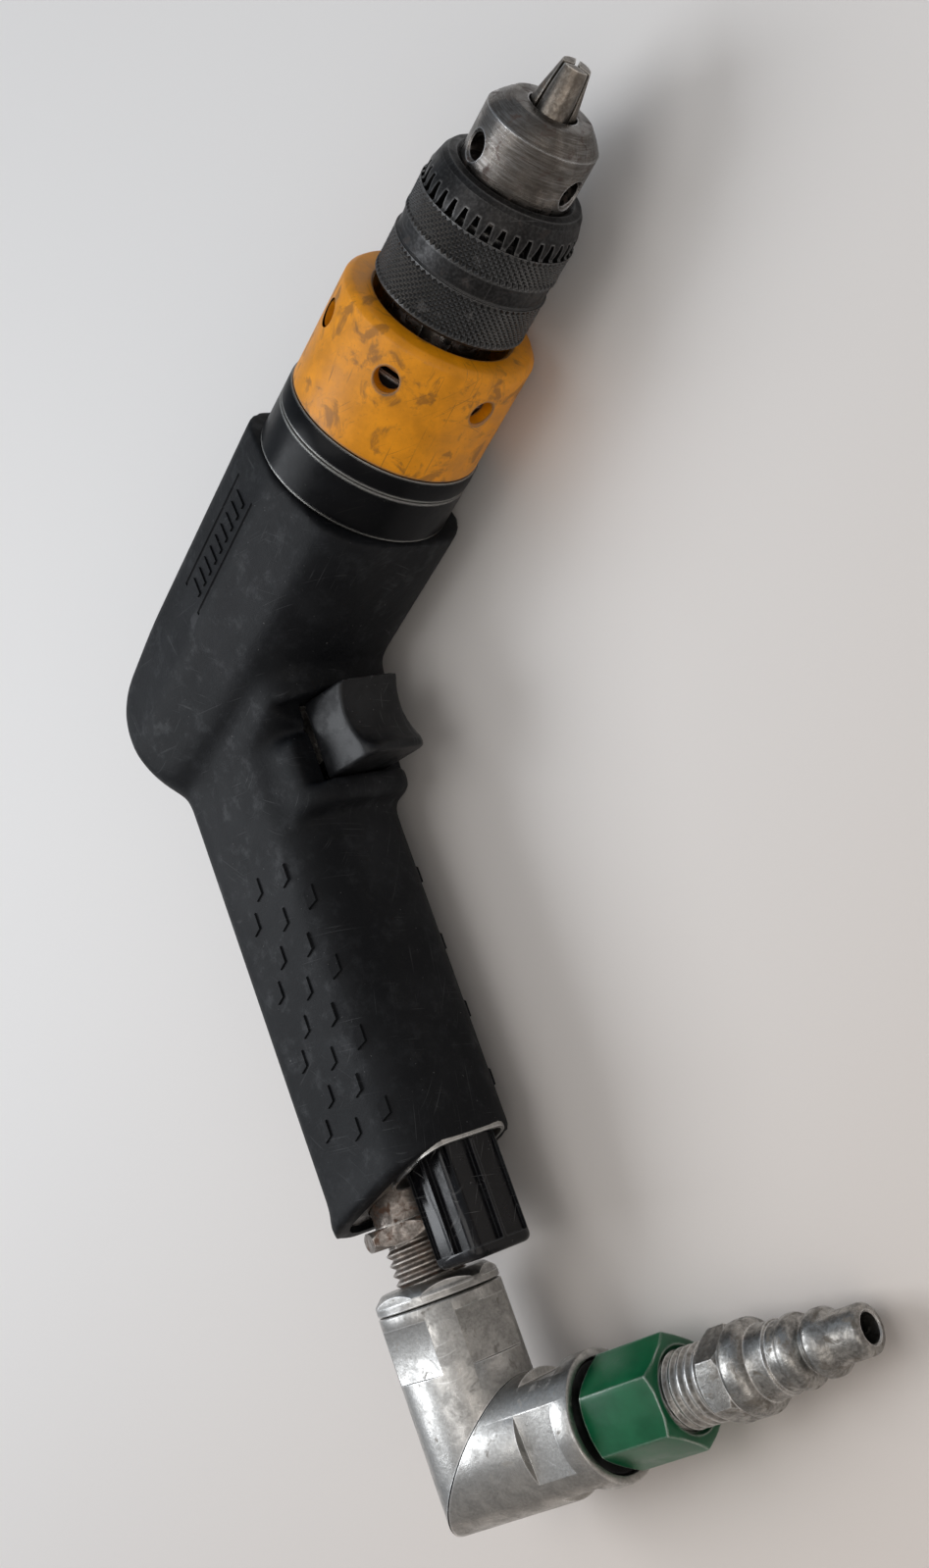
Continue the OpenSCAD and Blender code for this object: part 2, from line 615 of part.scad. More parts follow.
module inlet_bushing() color("#7a6455") on_grip(foot_s - 14) difference() {
  union() {
    thread_rod(stud_r + 0.7, 14, 1.4, 0.5);
    translate([0, 0, 14]) rotate(30) intersection() {
      hexagon(22, bush_l);
      turned([[0, 0], [13, 0], [13, bush_l - 2], [10.6, bush_l], [0, bush_l]]);
    }
  }
  translate([0, 0, -1]) cylinder(r = stud_r - 0.6, h = 40);
}

module inlet_strainer() color("#b9a06a") on_grip(foot_s - 14.5) difference() {
  cylinder(r = stud_r - 0.7, h = 3);
  for (x = [-4 : 2 : 4], y = [-4 : 2 : 4])
    translate([x, y, -1]) cylinder(r = 0.6, h = 5, $fn = 16);
}

stud_end = collar_s - foot_s; // the thread's end below the foot of the grip
module swivel_stud() color("#7d6d60") on_grip(foot_s) difference() {
  union() {
    translate([0, 0, -11]) cylinder(r = stud_r - 0.6, h = 11 + bush_l);
    translate([0, 0, bush_l - 1]) cylinder(r = stud_r - 1.1, h = stud_end - bush_l + 1);
    translate([0, 0, bush_l]) thread_rod(stud_r, stud_end - bush_l - 0.1, 2.2, 0.9);
    // spigot and retaining flange inside the swivel
    translate([0, 0, stud_end - 1]) cylinder(r = spigot_r, h = 22);
    translate([0, 0, stud_end + 18.5]) cylinder(r = spigot_r + 2, h = 2.5);
  }
  translate([0, 0, -12]) cylinder(r = hose_r, h = 60);
}

module swivel_collar() color("#c3c5c6") on_grip(collar_s) difference() {
  intersection() {
    turned([[0, 0], [swivel_r - 2.4, 0], [swivel_r - 0.1, 2.2], [swivel_r - 0.1, 4.3], [0, 4.3]]);
    hexagon(2 * swivel_r - 1.2, 6);
  }
  translate([0, 0, -1]) cylinder(r = spigot_r + fit, h = 8);
  translate([0, 0, 3.6]) cylinder(r = spigot_r + 3, h = 2);
}

// the half space on one side of the oblique plane
module oblique_cut(side)
  on_oblique() translate([-60, -60, side > 0 ? 0 : -120]) cube([120, 120, 120]);

module swivel_upper() color("#c6c8c9") difference() {
  on_grip(upper_s) difference() {
    cylinder(r = swivel_r, h = 60);
    for (a = [40, 130, 220, 310]) rotate(a) translate([swivel_r - 0.9, -20, 1.2]) cube([10, 40, 11]);
  }
  on_grip(upper_s - 1) cylinder(r = spigot_r + fit, h = 14);
  on_grip(upper_s + 9.5) cylinder(r = spigot_r + 2 + gap, h = 14);
  on_grip(upper_s + 12) cylinder(r = hose_r, h = 30);
  on_oblique() translate([0, 0, -3.2]) cylinder(r = pivot_r + fit, h = 10);
  oblique_cut(1);
  // groove of the oblique seal
  on_oblique() translate([0, 0, -1.2]) tube(pivot_r + 3.4, pivot_r + 1.6, 10);
}

pivot_r = 7;
oblique_gap = 0.3;

module swivel_lower() color("#c2c4c5") difference() {
  on_outlet(-40) difference() {
    cylinder(r = swivel_r, h = 40 + outlet_l);
    for (a = [50, 140, 230, 320]) rotate(a)
      translate([swivel_r - 0.9, -20, 26 + outlet_l]) cube([10, 40, 10]);
  }
  on_oblique() translate([-60, -60, -120 + oblique_gap]) cube([120, 120, 120]);
  on_outlet(outlet_l - 4.5) cylinder(r = recess_r, h = 10);
  on_outlet(0) cylinder(r = hose_r, h = 60);
  on_outlet(outlet_l - 16) cylinder(r = stud_r - 0.4, h = 30);
  on_oblique() cylinder(r = pivot_r, h = 4);
}

// hollow pivot between the two halves
module swivel_pin() color("#a6a9ab") on_oblique() difference() {
  translate([0, 0, -3]) cylinder(r = pivot_r, h = 7);
  translate([0, 0, -4]) cylinder(r = hose_r, h = 12);
}

module upper_seal() color("#161618") on_grip(collar_s + 3.6) tube(spigot_r + 2.9, spigot_r + fit, 0.8);

module oblique_seal() color("#161618")
  on_oblique() translate([0, 0, -1.1]) tube(pivot_r + 3.3, pivot_r + 1.7, 1.1);

module outlet_seal() color("#2a2320") on_outlet(outlet_l - 4.5) tube(recess_r - 0.2, stud_r, 3.6);

module adapter() color("#0f6b34") on_outlet(0) difference() {
  union() {
    translate([0, 0, outlet_l - 15]) thread_rod(stud_r - 0.4, 14, 1.4, 0.6);
    translate([0, 0, outlet_l - 2]) cylinder(r = stud_r - 0.8, h = 4);
    translate([0, 0, adapter_z]) intersection() {
      hexagon(22, hex_adapter_l);
      turned([[0, 0], [11.4, 0], [12.8, 0.8], [12.8, hex_adapter_l - 0.8], [11.4, hex_adapter_l],
        [0, hex_adapter_l]]);
    }
  }
  translate([0, 0, outlet_l - 16]) cylinder(r = hose_r, h = 60);
  translate([0, 0, plug_z - 11]) cylinder(r = plug_thread_r, h = 20);
}

// plug-in nipple that a hose coupler grips; stations count back from its tip
module air_plug() color("#b5b7b8") on_outlet(plug_z) difference() {
  union() {
    translate([0, 0, -10]) thread_rod(plug_thread_r, 19.3, 2.1, 0.9);
    translate([0, 0, plug_l - 37.2]) hexagon(17.4, 6.4);
    turned([[0, plug_l - 31], [9, plug_l - 31], [9.9, plug_l - 30.2], [9.9, plug_l - 27.2],
      [8.8, plug_l - 25.8], [7.7, plug_l - 25.8], [7.7, plug_l - 21], [7.1, plug_l - 20.6],
      [7.1, plug_l - 18.6], [7.7, plug_l - 17.6], [7.7, plug_l - 16.4], [7, plug_l - 14.8],
      [5, plug_l - 14], [5, plug_l - 13], [6.3, plug_l - 12.6], [7, plug_l - 11.4], [7, plug_l - 9.8],
      [6.3, plug_l - 8.2], [5.3, plug_l - 7], [5.3, plug_l - 1.2], [4.6, plug_l - 0.2], [4.2, plug_l],
      [0, plug_l]]);
  }
  translate([0, 0, -12]) cylinder(r = hose_r, h = 80);
}

motor_housing();
gear_case();
grip_cover();
front_collar();
collar_seal();
motor_cylinder();
rear_plate();
front_plate();
rear_bearing();
front_bearing();
rotor();
vane_1();
vane_2();
vane_3();
vane_4();
vane_5();
ring_gear();
stage1_planet_1();
stage1_planet_2();
stage1_planet_3();
stage1_carrier();
stage2_planet_1();
stage2_planet_2();
stage2_planet_3();
spindle();
spindle_bearing_rear();
spindle_bearing_front();
bearing_spacer();
chuck_body();
chuck_sleeve();
chuck_nut();
chuck_jaw_1();
chuck_jaw_2();
chuck_jaw_3();
trigger();
trigger_stem();
throttle_valve();
valve_seat();
valve_spring();
valve_plug();
exhaust_deflector();
exhaust_felt();
inlet_bushing();
inlet_strainer();
swivel_stud();
swivel_collar();
swivel_upper();
swivel_lower();
swivel_pin();
upper_seal();
oblique_seal();
outlet_seal();
adapter();
air_plug();
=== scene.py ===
"""Looks of a pneumatic pistol-grip drill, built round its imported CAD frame."""

import json
import logging
import math
from dataclasses import dataclass, field
from enum import Enum

import bpy
from mathutils import Matrix, Vector


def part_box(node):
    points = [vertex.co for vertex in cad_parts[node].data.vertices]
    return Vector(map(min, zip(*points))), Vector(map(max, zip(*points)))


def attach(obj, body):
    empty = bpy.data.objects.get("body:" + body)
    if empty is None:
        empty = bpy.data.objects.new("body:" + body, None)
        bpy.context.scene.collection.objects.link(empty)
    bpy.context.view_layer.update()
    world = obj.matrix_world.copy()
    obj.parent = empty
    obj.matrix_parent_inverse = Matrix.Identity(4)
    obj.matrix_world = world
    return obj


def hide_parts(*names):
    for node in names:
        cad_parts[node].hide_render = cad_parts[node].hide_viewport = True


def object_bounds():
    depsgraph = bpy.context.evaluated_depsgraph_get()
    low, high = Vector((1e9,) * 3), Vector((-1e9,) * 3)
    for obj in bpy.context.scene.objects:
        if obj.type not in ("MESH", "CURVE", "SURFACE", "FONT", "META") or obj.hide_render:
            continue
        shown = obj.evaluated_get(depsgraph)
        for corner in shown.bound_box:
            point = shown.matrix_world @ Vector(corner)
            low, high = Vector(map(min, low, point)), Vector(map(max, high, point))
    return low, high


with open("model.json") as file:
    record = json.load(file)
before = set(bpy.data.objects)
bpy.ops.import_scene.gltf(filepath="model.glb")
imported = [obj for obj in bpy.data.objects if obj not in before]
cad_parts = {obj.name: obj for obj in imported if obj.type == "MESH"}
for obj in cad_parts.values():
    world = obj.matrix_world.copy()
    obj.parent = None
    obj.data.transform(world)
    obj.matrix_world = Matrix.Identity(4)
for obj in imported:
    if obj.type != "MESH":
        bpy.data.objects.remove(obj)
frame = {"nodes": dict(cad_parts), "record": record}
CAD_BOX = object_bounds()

logging.basicConfig(level=logging.INFO, format="%(message)s")
log = logging.getLogger("drill")

MM = 0.001
Profile = list[tuple[float, float]]


# --------------------------------------------------------------------------- frames


@dataclass(frozen=True)
class Axes:
    """A working frame: z along a part's main axis, x to its side."""

    origin: Vector
    z: Vector
    x: Vector

    def matrix(self) -> Matrix:
        """Returns:
            The matrix that takes this frame's coordinates to the row frame.
        """
        z = self.z.normalized()
        x = (self.x - self.x.dot(z) * z).normalized()
        y = z.cross(x)
        m = Matrix((x, y, z)).transposed().to_4x4()
        m.translation = self.origin
        return m

    def at(self, along: float, side: float = 0.0, up: float = 0.0) -> "Axes":
        """Moves the frame in its own directions.

        Args:
            along: distance along z, in metres.
            side: distance along x.
            up: distance along y.

        Returns:
            The moved frame.
        """
        m = self.matrix()
        return Axes(m @ Vector((side, up, along)), self.z, self.x)

    def turned(self, degrees: float) -> "Axes":
        """Turns the frame about its z.

        Args:
            degrees: the turn, by the right-hand rule.

        Returns:
            The turned frame.
        """
        turn = Matrix.Rotation(math.radians(degrees), 3, self.z.normalized())
        return Axes(self.origin, self.z, turn @ self.x)


class Layout:
    """Working frames read from the CAD record's joints and mounts."""

    def __init__(self, record: dict) -> None:
        """Args:
            record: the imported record.
        """
        joints = {j["name"]: j for j in record["behaviour"]["joints"]}
        mounts = {m["name"]: m for m in record["mounts"]}
        self.barrel = Axes(Vector((0, 0, 0)), Vector((1, 0, 0)), Vector((0, 1, 0)))
        self.elbow = Vector(joints["swivel_turn"]["pos_m"])
        down = Vector(joints["swivel_turn"]["axis"])
        forward = -Vector(joints["trigger_pull"]["axis"])
        self.grip = Axes(self.elbow - down * (self.elbow.y / down.y), down, forward)
        out = Vector(mounts["air_plug_tip"]["axis"])
        self.outlet = Axes(self.elbow, out, -down)
        self.oblique = Axes(self.elbow, Vector(joints["outlet_turn"]["axis"]), Vector((0, 0, 1)))
        self.plug_tip = (Vector(mounts["air_plug_tip"]["pos_m"]) - self.elbow).dot(out)
        self.jaws = [Vector(joints[f"jaw_{i}_slide"]["axis"]) for i in (1, 2, 3)]
        self.key_holes = [mounts[f"key_hole_{i}"] for i in (1, 2, 3)]
        self.spanner_holes = [m for n, m in mounts.items() if n.startswith("spanner_hole")]
        self.elbow_s = (self.elbow - self.grip.origin).length

    def foot_plane(self, s: float, back: float, slope: float, beyond: float) -> tuple[Vector, Vector]:
        """The slanting plane of the grip's foot.

        Args:
            s: where it meets the grip's back, down the grip, in metres.
            back: the grip's back, from the inlet axis.
            slope: its slope in radians.
            beyond: distance of the plane past the foot.

        Returns:
            A point on it and its outward direction.
        """
        outward = self.grip.matrix().to_3x3() @ Vector((math.sin(slope), 0, math.cos(slope)))
        return self.grip.at(s, back).origin + outward * beyond, outward

    def span(self, node: str, axes: Axes) -> tuple[float, float]:
        """Where a CAD node starts and ends along a frame's z.

        Args:
            node: the CAD node's name.
            axes: the frame.

        Returns:
            The lowest and the highest distance along z, in metres.
        """
        turn_back = axes.matrix().inverted()
        along = [(turn_back @ v.co).z for v in bpy.data.objects[node].data.vertices]
        return min(along), max(along)


# --------------------------------------------------------------------------- modelling


class Solver(Enum):
    """What a boolean does with its tool."""

    CUT = "DIFFERENCE"
    JOIN = "UNION"
    KEEP = "INTERSECT"


class Modeller:
    """Shapes meshes with Blender's own tools, in a part's working frame."""

    @staticmethod
    def only(*objs: bpy.types.Object) -> None:
        """Selects these objects alone and makes the first one active.

        Args:
            objs: the objects.
        """
        if bpy.context.mode != "OBJECT":
            bpy.ops.object.mode_set(mode="OBJECT")
        bpy.ops.object.select_all(action="DESELECT")
        for o in objs:
            o.select_set(True)
        bpy.context.view_layer.objects.active = objs[0]

    @classmethod
    def edit(cls, obj: bpy.types.Object) -> None:
        """Opens an object in edit mode with everything selected.

        Args:
            obj: the object.
        """
        cls.only(obj)
        bpy.ops.object.mode_set(mode="EDIT")
        bpy.ops.mesh.select_all(action="SELECT")

    @classmethod
    def close(cls, obj: bpy.types.Object) -> bpy.types.Object:
        """Welds the mesh, turns its faces outward and leaves edit mode.

        Args:
            obj: the object.

        Returns:
            The same object.
        """
        if bpy.context.mode == "OBJECT":
            cls.edit(obj)
        bpy.ops.mesh.select_all(action="SELECT")
        bpy.ops.mesh.remove_doubles(threshold=1e-7)
        bpy.ops.mesh.normals_make_consistent(inside=False)
        bpy.ops.object.mode_set(mode="OBJECT")
        return obj

    @classmethod
    def lathe(cls, profile: Profile, steps: int = 96) -> bpy.types.Object:
        """Spins a closed outline about z.

        Args:
            profile: (radius, height) corners in millimetres.
            steps: facets round the axis.

        Returns:
            The turned solid.
        """
        bpy.ops.mesh.primitive_circle_add(vertices=len(profile), radius=1)
        obj = bpy.context.active_object
        for v, (r, z) in zip(obj.data.vertices, profile):
            v.co = (r * MM, 0, z * MM)
        cls.edit(obj)
        bpy.ops.mesh.spin(steps=steps, angle=2 * math.pi, center=(0, 0, 0), axis=(0, 0, 1))
        return cls.close(obj)

    @classmethod
    def cylinder(cls, r: float, low: float, high: float, sides: int = 64) -> bpy.types.Object:
        """Adds a cylinder on z.

        Args:
            r: radius in millimetres.
            low: height of the lower end.
            high: height of the upper end.
            sides: facets.

        Returns:
            The cylinder.
        """
        bpy.ops.mesh.primitive_cylinder_add(
            vertices=sides, radius=r * MM, depth=(high - low) * MM, location=(0, 0, 0)
        )
        obj = bpy.context.active_object
        obj.data.transform(Matrix.Translation((0, 0, (high + low) / 2 * MM)))
        return obj

    @classmethod
    def block(cls, low: tuple, high: tuple, round_z: float = 0.0, steps: int = 6) -> bpy.types.Object:
        """Adds a box, with its four upright edges rounded if asked.

        Args:
            low: lowest corner in millimetres.
            high: highest corner.
            round_z: radius of the edges along z.
            steps: segments of the rounding.

        Returns:
            The box.
        """
        bpy.ops.mesh.primitive_cube_add(size=1, location=(0, 0, 0))
        obj = bpy.context.active_object
        size = [(h - l) * MM for l, h in zip(low, high)]
        mid = [(h + l) / 2 * MM for l, h in zip(low, high)]
        obj.data.transform(Matrix.Translation(mid) @ Matrix.Diagonal((*size, 1)))
        if round_z:
            cls.edit(obj)
            bpy.ops.mesh.select_mode(type="EDGE")
            bpy.ops.mesh.select_all(action="DESELECT")
            bpy.ops.object.mode_set(mode="OBJECT")
            for e in obj.data.edges:
                a, b = (obj.data.vertices[i].co for i in e.vertices)
                e.select = abs(a.z - b.z) > 1e-6
            bpy.ops.object.mode_set(mode="EDIT")
            bpy.ops.mesh.bevel(offset=round_z * MM, segments=steps, affect="EDGES")
            bpy.ops.mesh.select_mode(type="VERT")
            cls.close(obj)
        return obj

    @classmethod
    def loft(cls, outline: Profile, length: float, end_scale: float = 1.0) -> bpy.types.Object:
        """Raises an outline along z to an end of another size.

        Args:
            outline: (x, y) corners in millimetres.
            length: height in millimetres.
            end_scale: size of the far end.

        Returns:
            The closed solid.
        """
        bpy.ops.mesh.primitive_circle_add(vertices=len(outline), radius=1, fill_type="NGON")
        obj = bpy.context.active_object
        for v, (x, y) in zip(obj.data.vertices, outline):
            v.co = (x * MM, y * MM, 0)
        cls.edit(obj)
        bpy.ops.mesh.extrude_region_move(TRANSFORM_OT_translate={"value": (0, 0, length * MM)})
        bpy.ops.transform.resize(value=(end_scale, end_scale, 1), center_override=(0, 0, length * MM))
        return cls.close(obj)

    @classmethod
    def thread(cls, r: float, depth: float, pitch: float, low: float, high: float) -> bpy.types.Object:
        """Winds a real thread round a core.

        Args:
            r: crest radius in millimetres.
            depth: crest to root.
            pitch: rise of one turn.
            low: height where it starts.
            high: height where it ends.

        Returns:
            The closed ridge and its core as one object.
        """
        turns = int((high - low) / pitch)
        ridge = [(r - depth - 0.5, 0.04), (r - depth, 0.04), (r, pitch * 0.42), (r, pitch * 0.56),
                 (r - depth, pitch * 0.96), (r - depth - 0.5, pitch * 0.96)]
        bpy.ops.mesh.primitive_circle_add(vertices=len(ridge), radius=1)
        obj = bpy.context.active_object
        for v, (x, z) in zip(obj.data.vertices, ridge):
            v.co = (x * MM, 0, (low + z) * MM)
        screw = obj.modifiers.new("wind", "SCREW")
        screw.angle = 2 * math.pi
        screw.screw_offset = pitch * MM
        screw.iterations = turns
        screw.steps = screw.render_steps = 56
        screw.use_merge_vertices = False
        cls.only(obj)
        bpy.ops.object.modifier_apply(modifier=screw.name)
        cls.edit(obj)
        bpy.ops.mesh.fill_holes(sides=0)
        cls.close(obj)
        core = cls.cylinder(r - depth + 0.02, low, high)
        return cls.merge(obj, core)

    @classmethod
    def merge(cls, *objs: bpy.types.Object) -> bpy.types.Object:
        """Joins objects into the first one.

        Args:
            objs: the objects.

        Returns:
            The joined object.
        """
        cls.only(*objs)
        bpy.ops.object.join()
        return objs[0]

    @classmethod
    def combine(
        cls, obj: bpy.types.Object, tool: bpy.types.Object, how: Solver = Solver.CUT, own: bool = False
    ) -> bpy.types.Object:
        """Runs a boolean and removes the tool.

        Args:
            obj: the object that stays.
            tool: the other object.
            how: cut, join or keep.
            own: the tool's own pieces overlap.

        Returns:
            The object that stays.
        """
        m = obj.modifiers.new("combine", "BOOLEAN")
        m.operation, m.solver, m.object, m.use_self = how.value, "EXACT", tool, own
        cls.only(obj)
        bpy.ops.object.modifier_apply(modifier=m.name)
        bpy.data.objects.remove(tool)
        return obj

    @classmethod
    def soften(cls, obj: bpy.types.Object, width: float, angle: float = 32, steps: int = 3) -> bpy.types.Object:
        """Bevels the edges sharper than an angle.

        Args:
            obj: the object.
            width: bevel width in millimetres.
            angle: smallest angle bevelled, in degrees.
            steps: segments of the bevel.

        Returns:
            The same object.
        """
        m = obj.modifiers.new("soften", "BEVEL")
        m.width, m.segments, m.limit_method = width * MM, steps, "ANGLE"
        m.angle_limit, m.use_clamp_overlap = math.radians(angle), True
        m.miter_outer = "MITER_ARC"
        cls.only(obj)
        bpy.ops.object.modifier_apply(modifier=m.name)
        return obj

    @classmethod
    def blend(cls, obj: bpy.types.Object, voxel: float, rounds: int) -> None:
        """Remeshes evenly and relaxes the surface, which fillets its corners.

        Args:
            obj: the object.
            voxel: mesh size in millimetres.
            rounds: relaxing steps.
        """
        remesh = obj.modifiers.new("even", "REMESH")
        remesh.mode, remesh.voxel_size = "VOXEL", voxel * MM
        relax = obj.modifiers.new("relax", "SMOOTH")
        relax.factor, relax.iterations = 0.5, rounds
        cls.only(obj)
        for name in ("even", "relax"):
            bpy.ops.object.modifier_apply(modifier=name)

    @classmethod
    def slice_off(cls, obj: bpy.types.Object, point: Vector, outward: Vector) -> bpy.types.Object:
        """Cuts away everything beyond a plane and closes the cut.

        Args:
            obj: the object, in the same coordinates as the plane.
            point: a point on the plane.
            outward: direction of what goes.

        Returns:
            The same object.
        """
        cls.edit(obj)
        bpy.ops.mesh.bisect(plane_co=point, plane_no=outward, use_fill=True, clear_outer=True)
        return cls.close(obj)

    @classmethod
    def copy(cls, obj: bpy.types.Object, matrix: Matrix) -> bpy.types.Object:
        """Makes a placed copy with a mesh of its own.

        Args:
            obj: the object.
            matrix: what moves the copy's mesh.

        Returns:
            The copy.
        """
        twin = bpy.data.objects.new(obj.name, obj.data.copy())
        bpy.context.collection.objects.link(twin)
        twin.data.transform(matrix)
        return twin


# --------------------------------------------------------------------------- shading


class Shader:
    """A short way to write a node tree."""

    def __init__(self, tree: bpy.types.NodeTree) -> None:
        """Args:
            tree: the tree that is filled.
        """
        self.tree = tree

    def add(self, kind: str, **inputs: object) -> bpy.types.Node:
        """Adds a node.

        Args:
            kind: the node's type.
            inputs: socket values or links, and node properties in lower case.

        Returns:
            The node.
        """
        node = self.tree.nodes.new(kind)
        for name, value in inputs.items():
            if name[0].islower():
                setattr(node, name, value)
        for name, value in inputs.items():
            if not name[0].islower():
                self.put(node.inputs[name.replace("_", " ")], value)
        return node

    def put(self, socket: bpy.types.NodeSocket, value: object) -> None:
        """Links a socket, or sets it when the value is a constant.

        Args:
            socket: the input.
            value: an output socket or a constant.
        """
        if isinstance(value, bpy.types.NodeSocket):
            self.tree.links.new(value, socket)
        else:
            socket.default_value = value

    def place(self, stretch: tuple = (1, 1, 1), turn: tuple = (0, 0, 0)) -> bpy.types.NodeSocket:
        """Object coordinates in millimetres.

        Args:
            stretch: extra scale along each direction.
            turn: rotation in radians, applied first.

        Returns:
            The vector output.
        """
        where = self.add("ShaderNodeTexCoord").outputs["Object"]
        turned = self.add("ShaderNodeVectorRotate", rotation_type="EULER_XYZ", Vector=where, Rotation=turn)
        scaled = self.add("ShaderNodeMapping", vector_type="POINT", Vector=turned.outputs[0])
        scaled.inputs["Scale"].default_value = [1000 * s for s in stretch]
        return scaled.outputs[0]

    def noise(self, size: float, detail: float = 4, rough: float = 0.55, vector: object = None,
              warp: float = 0.0) -> bpy.types.NodeSocket:
        """Cloudy pattern.

        Args:
            size: size of its spots in millimetres.
            detail: octaves.
            rough: strength of the finer octaves.
            vector: where it is read; object coordinates if left out.
            warp: distortion.

        Returns:
            The value output.
        """
        return self.add("ShaderNodeTexNoise", Vector=vector or self.place(), Scale=1 / size, Detail=detail,
                        Roughness=rough, Distortion=warp).outputs["Fac"]

    def window(self, value: object, low: float, high: float, to_low: float = 0.0,
               to_high: float = 1.0) -> bpy.types.NodeSocket:
        """Maps a range smoothly onto another.

        Args:
            value: the input.
            low: input that gives to_low.
            high: input that gives to_high.
            to_low: first result.
            to_high: second result.

        Returns:
            The value output.
        """
        return self.add("ShaderNodeMapRange", interpolation_type="SMOOTHSTEP", Value=value, From_Min=low,
                        From_Max=high, To_Min=to_low, To_Max=to_high).outputs[0]

    def math(self, op: str, a: object, b: object = 0.0) -> bpy.types.NodeSocket:
        """One sum.

        Args:
            op: the operation.
            a: first value.
            b: second value.

        Returns:
            The clamped result.
        """
        node = self.tree.nodes.new("ShaderNodeMath")
        node.operation = op
        node.use_clamp = True
        self.put(node.inputs[0], a)
        self.put(node.inputs[1], b)
        return node.outputs[0]

    def blend(self, mask: object, a: object, b: object) -> bpy.types.NodeSocket:
        """Mixes two colours.

        Args:
            mask: share of the second colour.
            a: first colour.
            b: second colour.

        Returns:
            The colour output.
        """
        node = self.tree.nodes.new("ShaderNodeMix")
        node.data_type = "RGBA"
        self.put(node.inputs["Factor"], mask)
        self.put(node.inputs[6], a)
        self.put(node.inputs[7], b)
        return node.outputs[2]

    def bump(self, height: object, depth: float, under: object = None) -> bpy.types.NodeSocket:
        """Relief.

        Args:
            height: pattern of 0 to 1.
            depth: its depth in millimetres.
            under: a normal it is laid on.

        Returns:
            The normal output.
        """
        node = self.add("ShaderNodeBump", Height=height, Strength=1.0, Distance=depth * MM)
        if under is not None:
            self.put(node.inputs["Normal"], under)
        return node.outputs[0]

    def effect(self, group: bpy.types.NodeTree, **inputs: object) -> bpy.types.Node:
        """Uses a shared effect.

        Args:
            group: the node group.
            inputs: its settings.

        Returns:
            The group node.
        """
        node = self.tree.nodes.new("ShaderNodeGroup")
        node.node_tree = group
        for name, value in inputs.items():
            self.put(node.inputs[name], value)
        return node


class Effects:
    """Shared node groups: worn edges, stains and scratches."""

    def __init__(self) -> None:
        """Builds the groups."""
        self.edges = self._edges()
        self.stains = self._stains()
        self.scratches = self._scratches()

    @staticmethod
    def _group(name: str, settings: dict[str, float]) -> tuple[Shader, bpy.types.Node, bpy.types.Node]:
        """Opens a new group with float settings and one Mask output.

        Args:
            name: the group's name.
            settings: setting names and defaults.

        Returns:
            The shader, the group's input node and its output node.
        """
        tree = bpy.data.node_groups.new(name, "ShaderNodeTree")
        for label, value in settings.items():
            socket = tree.interface.new_socket(label, in_out="INPUT", socket_type="NodeSocketFloat")
            socket.default_value = value
        tree.interface.new_socket("Mask", in_out="OUTPUT", socket_type="NodeSocketFloat")
        return Shader(tree), tree.nodes.new("NodeGroupInput"), tree.nodes.new("NodeGroupOutput")

    @classmethod
    def _edges(cls) -> bpy.types.NodeTree:
        """Edges where a finish is rubbed through, broken up by noise.

        Returns:
            The group.
        """
        s, given, out = cls._group("edge_wear", {"Radius": 0.5 * MM, "Amount": 0.5, "Grain": 1.2})
        rounded = s.add("ShaderNodeBevel", samples=4, Radius=given.outputs["Radius"]).outputs[0]
        normal = s.add("ShaderNodeNewGeometry").outputs["Normal"]
        dot = s.add("ShaderNodeVectorMath", operation="DOT_PRODUCT")
        s.put(dot.inputs[0], rounded)
        s.put(dot.inputs[1], normal)
        turn = s.math("MULTIPLY", s.math("SUBTRACT", 1.0, dot.outputs["Value"]), 7.0)
        grain = s.noise(1.4, 5, 0.65)
        reach = s.math("ADD", turn, s.math("MULTIPLY", grain, given.outputs["Amount"]))
        s.put(out.inputs["Mask"], s.math("MULTIPLY", s.window(reach, 0.42, 0.62), s.window(turn, 0.02, 0.12)))
        return s.tree

    @classmethod
    def _stains(cls) -> bpy.types.NodeTree:
        """Patches with hard and soft parts.

        Returns:
            The group.
        """
        s, given, out = cls._group("stains", {"Scale": 0.25, "Amount": 0.5})
        tex = s.add("ShaderNodeTexNoise", Vector=s.place(), Scale=given.outputs["Scale"], Detail=6.0,
                    Roughness=0.62, Distortion=0.6).outputs["Fac"]
        low = s.math("SUBTRACT", 0.72, s.math("MULTIPLY", given.outputs["Amount"], 0.3))
        node = s.add("ShaderNodeMapRange", interpolation_type="SMOOTHSTEP", Value=tex, From_Min=low,
                     From_Max=s.math("ADD", low, 0.12), To_Min=0.0, To_Max=1.0)
        s.put(out.inputs["Mask"], node.outputs[0])
        return s.tree

    @classmethod
    def _scratches(cls) -> bpy.types.NodeTree:
        """Fine lines in three directions.

        Returns:
            The group.
        """
        s, given, out = cls._group("scratches", {"Amount": 0.5})
        lines = None
        for i, turn in enumerate(((0.3, 0.2, 0.5), (1.1, 0.7, 2.1), (2.0, 1.4, 0.2))):
            tex = s.noise(1.0, 2, 0.5, s.place((0.05, 3.2, 0.06), turn))
            gate = s.window(s.noise(9 + 4 * i, 2), 0.5, 0.62)
            line = s.math("MULTIPLY", s.window(tex, 0.66, 0.7), gate)
            lines = line if lines is None else s.math("MAXIMUM", lines, line)
        s.put(out.inputs["Mask"], s.math("MULTIPLY", lines, given.outputs["Amount"]))
        return s.tree


